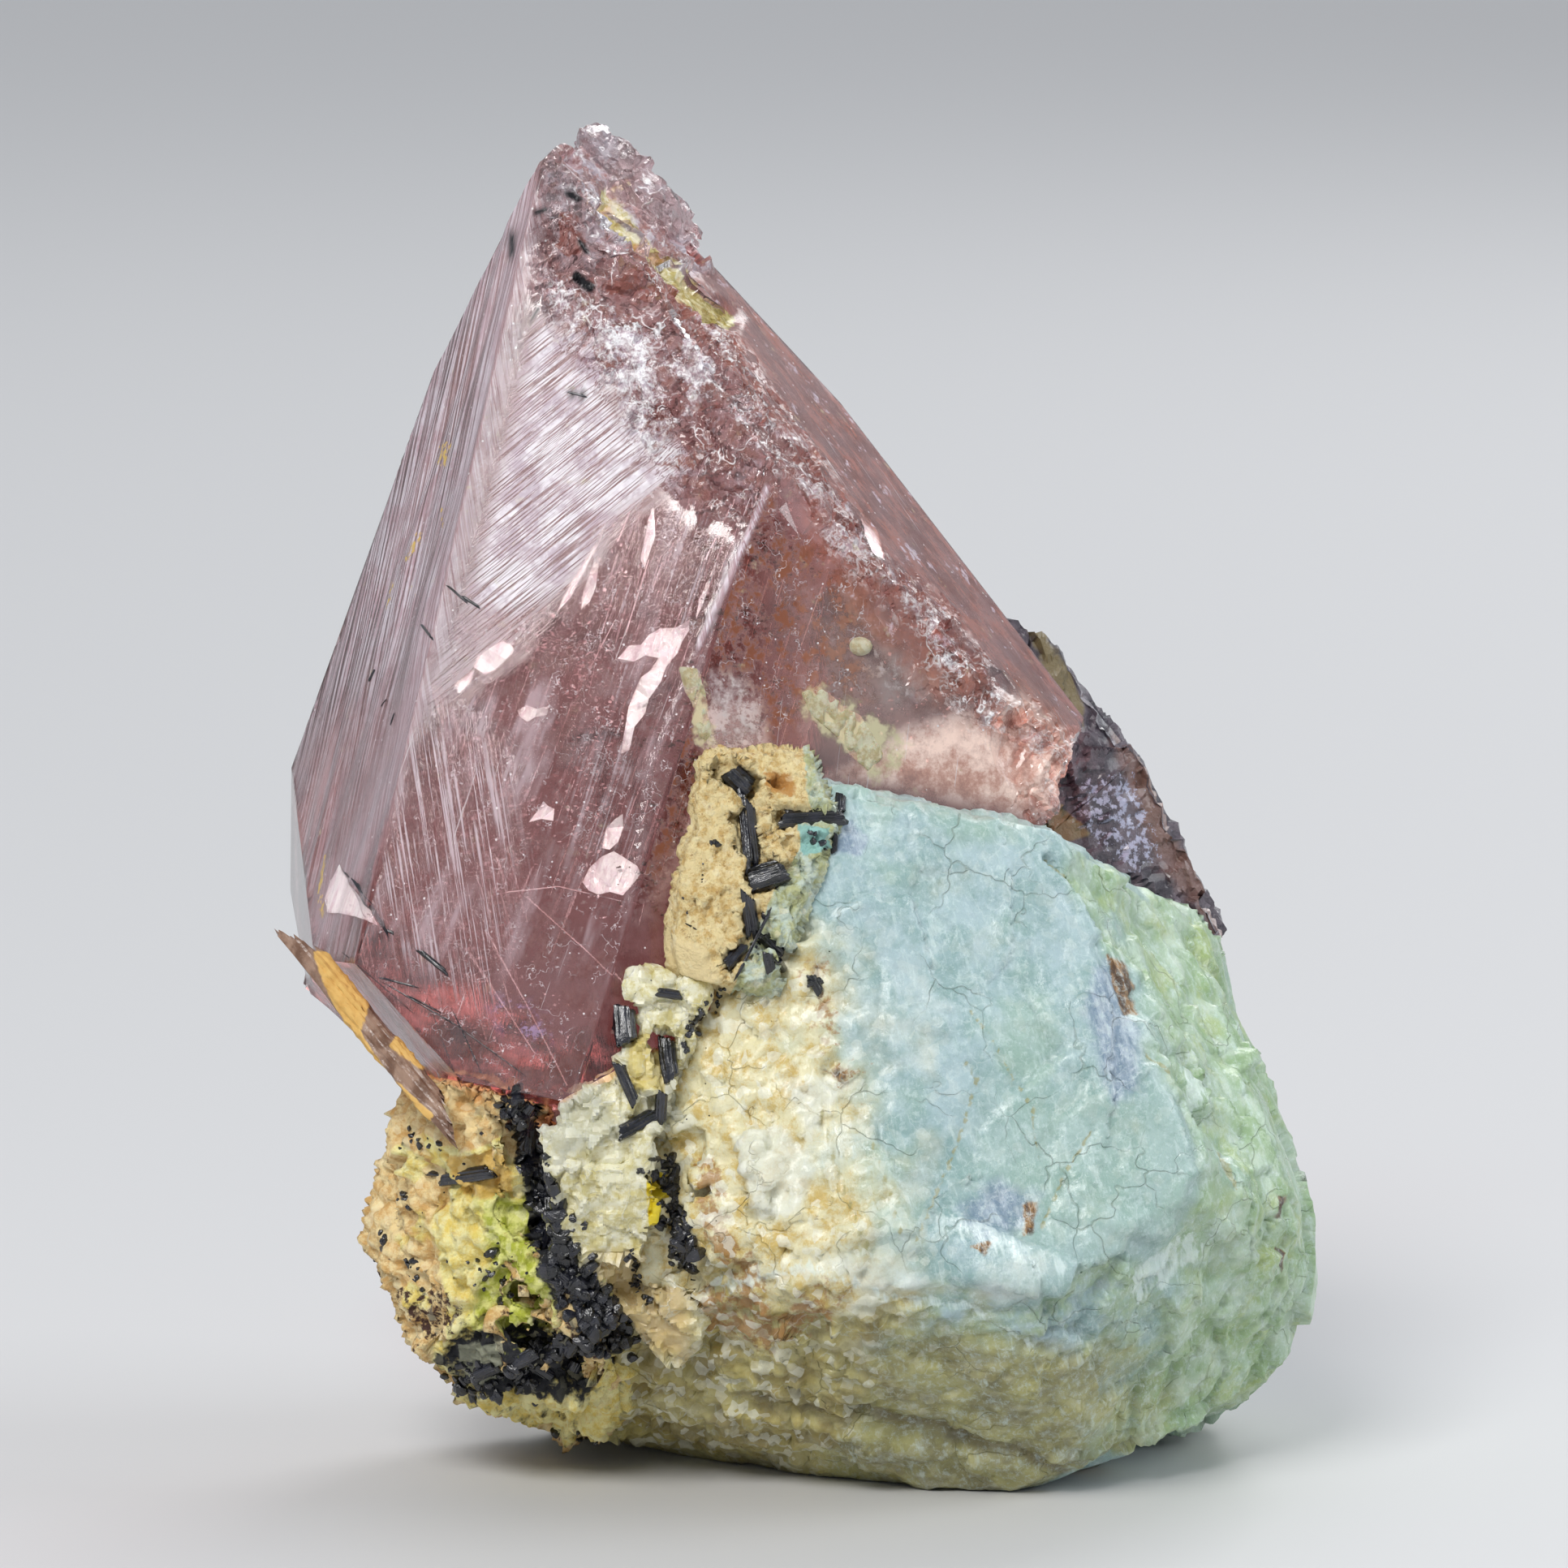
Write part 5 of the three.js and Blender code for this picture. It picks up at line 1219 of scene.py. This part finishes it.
def strewn(line, many, spread, size, seed, sink=0.12, stretch=(0.7, 1.9)):
    """Ends and widths for many small prisms along a line of the front view, lying on the ground."""
    dice, found = random.Random(seed), []
    for _ in range(many):
        (u0, v0), (u1, v1) = dice.choice(list(zip(line, line[1:])))
        t = dice.random()
        at = lay(ground, u0 + t * (u1 - u0) + dice.gauss(0, spread),
                 v0 + t * (v1 - v0) + dice.gauss(0, spread))
        if at is None:
            continue
        wide = dice.uniform(*size)
        along = Vector([dice.gauss(0, 1) for _ in range(3)])
        along = (along - at[1] * along.dot(at[1]) * 0.7).normalized() * wide * dice.uniform(*stretch) / 2
        middle = at[0] - at[1] * wide * sink
        found.append((middle - along, middle + along, wide))
    return found


def strewn_rows(*rows):
    """The same along several lines, one after the other."""
    return [prism for row in rows for prism in strewn(*row)]


bpy.ops.object.select_all(action="DESELECT")
bpy.ops.mesh.primitive_ico_sphere_add(subdivisions=2, radius=0.5)
broken_lump = bpy.context.object
dice = random.Random(9)
for _ in range(9):
    turn = Vector([dice.gauss(0, 1) for _ in range(3)]).normalized()
    for vertex in broken_lump.data.vertices:
        over = vertex.co.dot(turn) - dice.uniform(0.26, 0.30)
        if over > 0:
            vertex.co -= turn * over
stand(broken_lump, "seam_left",
      strewn_rows(([(632, 1342), (645, 1390), (662, 1440), (672, 1480)], 130, 8, (0.18, 0.6), 6, 0.2),
                  ([(672, 1480), (692, 1550), (720, 1605), (765, 1655)], 230, 13, (0.2, 0.75), 25, 0.2),
                  ([(650, 1660), (700, 1655), (750, 1662)], 60, 9, (0.22, 0.7), 7, 0.2),
                  ([(550, 1690), (600, 1700), (650, 1690)], 50, 12, (0.2, 0.6), 24, 0.2)), schorl_finish,
      "schorl_seam_left")
stand(broken_lump, "seam_right",
      strewn_rows(([(818, 1425), (825, 1480), (840, 1530), (845, 1560)], 110, 8, (0.2, 0.7), 8, 0.2),
                  ([(780, 1545), (785, 1580), (800, 1605)], 26, 4, (0.15, 0.42), 9),
                  ([(890, 1222), (868, 1245), (850, 1265), (845, 1290)], 34, 4, (0.14, 0.36), 10),
                  ([(795, 1440), (800, 1460)], 9, 5, (0.15, 0.3), 11)), schorl_finish,
      "schorl_seam_right")
stand(fluted_prism, "seam_prisms",
      strewn_rows(([(640, 1350), (670, 1450), (690, 1550), (740, 1640)], 26, 8, (0.3, 0.6), 61, 0.0),
                  ([(822, 1430), (842, 1550)], 9, 6, (0.25, 0.5), 62, 0.0),
                  ([(560, 1690), (740, 1660)], 10, 10, (0.3, 0.6), 63, 0.0)), schorl_finish)
loose = strewn_rows(
    ([(505, 1395), (535, 1415)], 9, 7, (0.16, 0.36), 12), ([(488, 1470), (500, 1485)], 4, 4, (0.2, 0.4), 13),
    ([(468, 1515), (476, 1545)], 5, 3, (0.25, 0.5), 14), ([(510, 1555), (520, 1580)], 6, 6, (0.15, 0.35), 15),
    ([(590, 1540), (610, 1580), (630, 1620)], 16, 9, (0.2, 0.5), 16),
    ([(500, 1400), (640, 1620)], 26, 45, (0.06, 0.18), 17),
    ([(530, 1690), (560, 1705), (600, 1720)], 12, 6, (0.3, 0.7), 18),
    ([(881, 1037), (882, 1038)], 5, 2, (0.2, 0.34), 19),
    ([(866, 1060), (864, 1088), (852, 1128), (842, 1106)], 8, 2, (0.08, 0.16), 26),
    ([(1000, 1035), (1030, 1045)], 7, 7, (0.14, 0.34), 20),
    ([(948, 1090), (935, 1170)], 9, 4, (0.14, 0.3), 21),
    ([(900, 1480), (880, 1240), (1000, 1200)], 10, 60, (0.05, 0.12), 22),
    ([(600, 1760), (680, 1772), (735, 1775)], 14, 5, (0.15, 0.4), 23))
loose += [lying(836, 1074, 859, 1066, 0.18), lying(840, 1135, 862, 1147, 0.08),
          lying(519, 1443, 545, 1446, 0.3), lying(488, 1473, 510, 1480, 0.26),
          lying(466, 1530, 486, 1553, 0.36), lying(496, 1560, 522, 1585, 0.26)]
stand(broken_lump, "loose_tourmaline", loose, schorl_finish)


# ---------------------------------------------------------------------------------------------
# Coated prism. A slim rusty prism lying along the pink crystal's lower left edge, red-brown,
# with ochre coating in patches.
# ---------------------------------------------------------------------------------------------

coated = stand(fluted_prism, "rusty_prism", [((-18.0, -6.5, 20.3), (-12.7, -10.6, 14.7), 0.95)], None,
               "coated_prism")
fine_mesh(coated, 0.3)
place, way = spots(coated), outward(coated)
uv = front(place)
patchy = np.clip(patch(uv, [(385, 1172), (410, 1175), (455, 1240), (440, 1290), (400, 1215)], 16)
                 + patch(uv, [(490, 1270), (535, 1300), (520, 1320), (480, 1290)], 14)
                 + stroke(uv, [(430, 1260), (480, 1330), (530, 1375)], 10), 0, 1)
settle(coated, place + way * (patchy * (0.05 + 0.09 * pebbles(place, 0.4, 81)))[:, None])
stain(coated, "hues", patchy)
rust_finish, tree, shader, where = finish_of("rust")
ochre = masks("hues")[0]
tone = tinted((0.16, 0.085, 0.055), (0.34, 0.22, 0.16), between(cloud(0.6, 5), 0.36, 0.64))
tone = tinted(tone, tinted((0.52, 0.26, 0.05), (0.82, 0.55, 0.18), cloud(0.4, 5)), frayed(ochre, 2200.0, 0.8))
bump(shader, placed(grit, Where=where, Size=5000.0)["Height"], 0.8, 0.00005)
give(shader, Base_Color=tone, Roughness=graded(ochre, 0.22, 0.75))
coated.data.materials.append(rust_finish)


# ---------------------------------------------------------------------------------------------
# Pale growths. Two thin cloudy films and one bead of pale yellow on the pink crystal's right-hand
# face, pressed flat against it.
# ---------------------------------------------------------------------------------------------

film_finish, tree, shader, where = finish_of("pale_film")
tone = tinted((0.62, 0.52, 0.27), (0.90, 0.86, 0.64), between(cloud(0.45, 6, 0.75), 0.40, 0.58))
bump(shader, cloud(0.25, 6, 0.75), 1.0, 0.00008)
give(shader, Base_Color=tone, Roughness=graded(cloud(0.4, 3), 0.15, 0.5), Transmission_Weight=0.42, IOR=1.5,
     Subsurface_Weight=0.2, Subsurface_Scale=0.0004)
skin = solid_tree(pink_crystal)
for node in ("pale_film_left", "pale_film_right", "pale_bead"):
    film = rough_out(node.replace("pale_", ""), node)
    knead(film, 0.09)
    place, way = spots(film), outward(film)
    torn = 0.5 * swell(place, 1.0, 93) + 0.9 * swell(place, 0.3, 94) + 0.35
    thick = 0.04 + 0.09 * ease(torn, -0.5, 1.0) if "film" in node else 0.30 + 0.05 * torn
    for i, at in enumerate(place):
        foot, slope, _, _ = skin.find_nearest(Vector(at))
        out = Vector(way[i]).dot(slope)
        place[i] = (foot + slope
                    * (thick[i] * max(out, 0) + (0.10 * min(torn[i], 0) if "film" in node else 0) - 0.04))
    settle(film, place)
    smooth(film, 25)
    film.data.materials.append(film_finish)


# ---------------------------------------------------------------------------------------------
# Inside the pink crystal. Rusty flakes crowd behind its right-hand face, growth tubes run along
# it, healed veils of tiny plates cross it and cleavage cracks stand behind its faces, painted
# white as a reflection of the light.
# ---------------------------------------------------------------------------------------------

crystal_skin = solid_tree(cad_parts["morganite_crystal"])


def sight(u, v):
    """Where the sight line through a point of the front view enters and leaves the pink crystal."""
    first = lay(crystal_skin, u, v)
    if first is None:
        return None
    way = (first[0] - Vector(EYE)).normalized()
    last = crystal_skin.ray_cast(first[0] + way * 0.3, way)[0]
    return (first[0], last) if last else None


bpy.ops.object.select_all(action="DESELECT")
bpy.ops.mesh.primitive_ico_sphere_add(subdivisions=1, radius=0.5)
flake = bpy.context.object
bpy.ops.object.mode_set(mode="EDIT")
bpy.ops.mesh.select_all(action="SELECT")
bpy.ops.transform.resize(value=(1, 0.3, 1))
bpy.ops.object.mode_set(mode="OBJECT")
bpy.ops.mesh.primitive_cylinder_add(vertices=5, radius=0.5, depth=1)
needle = bpy.context.object

rusty_finish, tree, shader, where = finish_of("rusty_flakes")
give(shader, Base_Color=tinted((0.04, 0.012, 0.006), (0.17, 0.05, 0.02), cloud(0.6, 2)), Roughness=0.6)
dice, sprinkled = np.random.default_rng(31), []
tries = 9000
at = dice.uniform((760, 620), (1090, 1130), (tries, 2)).T
chance = patch(at, [(840, 660), (950, 620), (1080, 760), (1010, 860), (920, 930), (800, 1115), (768, 1135),
                    (800, 960), (840, 830)], 70)
chance = chance * ease(swell(np.stack([*at, 0 * at[0]], 1) * 0.03, 1.1, 33), -0.5, 0.7) * 0.75
for u, v in at.T[dice.random(tries) < chance]:
    line = sight(u, v)
    if line is None:
        continue
    middle = line[0] + (line[1] - line[0]).normalized() * (0.2 + 2.2 * dice.random() ** 2)
    wide = dice.choice((0.05, 0.06, 0.08, 0.1, 0.13, 0.18, 0.22))
    along = Vector(dice.normal(size=3)).normalized() * wide * 0.5
    sprinkled.append((middle - along, middle + along, wide))
stand(flake, "rusty_flakes", sprinkled, rusty_finish)

veil_finish, tree, shader, where = finish_of("healed_veils")
give(
    shader, Base_Color=tinted((0.95, 0.84, 0.88), (0.75, 0.52, 0.55), cloud(0.7, 3)), Roughness=0.18, IOR=1.7)
plates, dice = [], random.Random(32)
for line, spread, depth, many, big in [
    ([(570, 800), (640, 780), (720, 800), (740, 880)], 26, 1.2, 420, 0.16),
    ([(520, 900), (600, 960), (640, 1060)], 30, 2.0, 380, 0.12),
    ([(740, 880), (720, 980), (745, 1060), (770, 1090)], 22, 1.0, 420, 0.14),
    ([(650, 1000), (600, 1100), (560, 1180)], 30, 2.4, 300, 0.11),
    ([(440, 1000), (480, 1080), (560, 1150), (640, 1240)], 26, 1.2, 340, 0.10),
    ([(700, 560), (760, 680), (780, 760)], 24, 1.3, 260, 0.12),
    ([(880, 560), (960, 620), (1060, 720), (1180, 820)], 24, 1.0, 360, 0.12),
    ([(1000, 840), (1100, 880), (1200, 930)], 26, 1.0, 260, 0.12),
    ([(560, 1250), (640, 1290), (700, 1240)], 20, 1.4, 200, 0.10),
    ([(640, 880), (760, 900), (860, 760)], 50, 4.0, 360, 0.12)]:
    tilt = dice.uniform(-0.5, 0.5)
    for _ in range(many):
        (u0, v0), (u1, v1) = dice.choice(list(zip(line, line[1:])))
        t, off = dice.random(), dice.gauss(0, spread)
        seen_through = sight(u0 + t * (u1 - u0) + off, v0 + t * (v1 - v0) + dice.gauss(0, spread))
        if seen_through is None:
            continue
        way = seen_through[1] - seen_through[0]
        deep = depth + tilt * off * 0.03 + dice.gauss(0, 0.1)
        if not 0.15 < deep < way.length - 0.4:
            continue
        middle = seen_through[0] + way.normalized() * deep
        wide = big * dice.uniform(0.25, 1.3) ** 1.5
        along = Vector((dice.gauss(0, 1), dice.gauss(0, 0.35), dice.gauss(0, 1))).normalized() * wide * 0.5
        plates.append((middle - along, middle + along, wide * 0.8))
stand(flake, "healed_veils", plates, veil_finish)

tubes, dice = [], random.Random(34)
for _ in range(420):
    left = dice.random() < 0.35
    u, v = ((dice.uniform(440, 640), dice.uniform(860, 1250)) if left
            else (dice.uniform(600, 1010), dice.uniform(600, 1130)))
    line = sight(u, v)
    if line is None:
        continue
    way = line[1] - line[0]
    middle = line[0] + way.normalized() * dice.uniform(0.3, min(4.0, way.length * 0.5))
    along = (Vector((-0.26, 0.02, 0.96) if left else (0.32, 0.02, 0.94))
             + Vector([dice.gauss(0, 0.05) for _ in range(3)]))
    along = along.normalized() * dice.uniform(0.4, 2.4) ** 1.3 / 2
    if all(crystal_skin.ray_cast(middle, turn)[3]
           and crystal_skin.ray_cast(middle, turn)[3] > along.length + 0.2
           for turn in (along.normalized(), -along.normalized())):
        tubes.append((middle - along, middle + along, dice.uniform(0.015, 0.04)))
for (u0, v0), (u1, v1), deep in [
    ((625, 1102), (690, 1095), 1.0), ((690, 1095), (772, 1114), 1.0), ((650, 1108), (728, 1178), 1.2),
    ((728, 1178), (800, 1250), 1.2), ((600, 1150), (650, 1240), 0.8), ((650, 1240), (700, 1340), 0.8),
    ((575, 1170), (660, 1300), 0.7), ((905, 615), (870, 690), 0.3), ((800, 690), (772, 780), 0.3),
    ((788, 600), (762, 668), 0.3)]:
    start, stop = sight(u0, v0)[0] + Vector(AHEAD) * deep, sight(u1, v1)[0] + Vector(AHEAD) * deep
    tubes.append((start, stop, 0.05))
stand(needle, "growth_tubes", tubes, veil_finish)

# Cleavage cracks inside the crystal, painted near white as a reflection of the light they catch.
crack_finish, tree, shader, where = finish_of("cracks_with_painted_glint")
lengthwise = vectors("MULTIPLY",
                     put("VectorRotate", {"rotation_type": "Y_AXIS"}, Vector=where, Angle=-0.32).outputs[0],
                     (1.0, 1.0, 0.16))
gleam = tinted((1.0, 1.0, 1.0), (0.78, 0.64, 0.70), between(cloud(0.5, 5, 0.72, at=lengthwise), 0.46, 0.64))
give(shader, Base_Color=tinted(gleam, (0.90, 0.84, 0.90), between(cloud(0.3, 5, 0.78), 0.5, 0.62)),
     Roughness=0.15, IOR=1.8,
     Normal=put("Bump", Strength=0.8, Distance=0.00005, Height=cloud(0.3, 4)).outputs[0])
corners, sides = [], []
for outline, deep in GLINTS:
    ring = [sight(u, v)[0] + Vector(AHEAD) * (deep + 0.2 * math.sin(i * 2.1))
            for i, (u, v) in enumerate(outline)]
    start, many = len(corners), len(ring)
    corners += [p / 1000 for p in ring] + [(p + Vector(AHEAD) * 0.06) / 1000 for p in ring]
    sides += [list(range(start, start + many))[::-1], list(range(start + many, start + 2 * many))]
    sides += [[start + i, start + (i + 1) % many, start + many + (i + 1) % many, start + many + i]
              for i in range(many)]
crack_mesh = bpy.data.meshes.new("cracks_with_painted_glint")
crack_mesh.from_pydata(corners, [], sides)
cracks_with_painted_glint = new_piece("cracks_with_painted_glint", crack_mesh)
fine_mesh(cracks_with_painted_glint, 0.16)
place = spots(cracks_with_painted_glint)
settle(cracks_with_painted_glint,
       place + AHEAD * (0.12 * flakes(place, 0.7, 95, 0.5) + 0.10 * flakes(place, 0.3, 96, 0.6))[:, None])
on_all_faces(cracks_with_painted_glint, bpy.ops.mesh.normals_make_consistent, inside=False)
crack_mesh.materials.append(crack_finish)
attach(cracks_with_painted_glint, "root")

needles = []
for (u0, v0), (u1, v1), wide in [
    ((440, 1088), (476, 1146), 0.16), ((476, 1146), (485, 1150), 0.1), ((518, 1172), (550, 1198), 0.18),
    ((430, 1180), (500, 1240), 0.04), ((480, 1215), (560, 1262), 0.05), ((560, 1262), (640, 1320), 0.04),
    ((530, 1240), (566, 1332), 0.04), ((470, 1205), (512, 1216), 0.07), ((505, 1228), (540, 1246), 0.06),
    ((425, 1075), (455, 1110), 0.05), ((560, 1250), (590, 1315), 0.04), ((520, 770), (532, 786), 0.09),
    ((570, 735), (590, 748), 0.11), ((552, 722), (575, 742), 0.08), ((700, 483), (722, 489), 0.07),
    ((462, 826), (456, 838), 0.1), ((486, 880), (482, 892), 0.06), ((470, 870), (476, 862), 0.05)]:
    start, stop = lay(skin, u0, v0), lay(skin, u1, v1)
    if start and stop:
        needles.append((start[0] + start[1] * wide * 0.2, stop[0] + stop[1] * wide * 0.2, wide))
stand(fluted_prism, "black_needles", needles, schorl_finish)

for model in (fluted_prism, broken_lump, flake, needle):
    bpy.data.objects.remove(model)


# ---------------------------------------------------------------------------------------------
# Floor, lights and camera. A plain pale table, one soft box high on the left that the etched
# upper face mirrors, a weak one on the right and a rim light behind.
# ---------------------------------------------------------------------------------------------

bpy.ops.object.select_all(action="DESELECT")
bpy.ops.mesh.primitive_plane_add(size=12, location=(0, 0, -0.00002))
table = bpy.context.object
table.name = "table"
table_finish, tree, shader, where = finish_of("table")
give(shader, Base_Color=(0.62, 0.62, 0.63), Roughness=0.55)
table.data.materials.append(table_finish)


def soft_box(name, place, aim, size, power, colour=(1, 1, 1)):
    lamp = bpy.data.lights.new(name, "AREA")
    lamp.shape, lamp.energy, lamp.color = "RECTANGLE", power, colour
    lamp.size, lamp.size_y = size
    box = new_piece(name, lamp)
    box.location = place
    box.rotation_euler = (Vector(aim) - Vector(place)).to_track_quat("-Z", "Y").to_euler()


soft_box("key", (-0.138, -0.357, 0.362), (0, 0, 0.03), (0.22, 0.16), 2.0, (1.0, 0.99, 0.97))
soft_box("fill", (0.60, -0.02, 0.34), (0, 0, 0.02), (0.35, 0.35), 1.7, (0.95, 0.98, 1.0))
soft_box("rim", (0.22, 0.42, 0.36), (0, 0, 0.025), (0.25, 0.25), 0.9)
soft_box("wash", (0, 1.5, 1.4), (0, 1.9, 0), (2.4, 2.0), 13.0)
room = bpy.data.worlds.new("room")
bpy.context.scene.world = room
room.use_nodes = True
tree = room.node_tree
give(tree.nodes["Background"], Color=(0.88, 0.93, 1.0), Strength=0.36)
bpy.context.scene.view_settings.view_transform = "Standard"

camera = new_piece("camera", bpy.data.cameras.new("camera"))
camera.location = EYE / 1000
camera.rotation_euler = Vector(AHEAD).to_track_quat("-Z", "Y").to_euler()
camera.data.sensor_width = 36
camera.data.lens = camera.data.sensor_width / (2 * MIDDLE * STEP) * FAR
camera.data.clip_start, camera.data.clip_end = 0.01, 20
bpy.context.scene.camera = camera

bpy.context.view_layer.update()
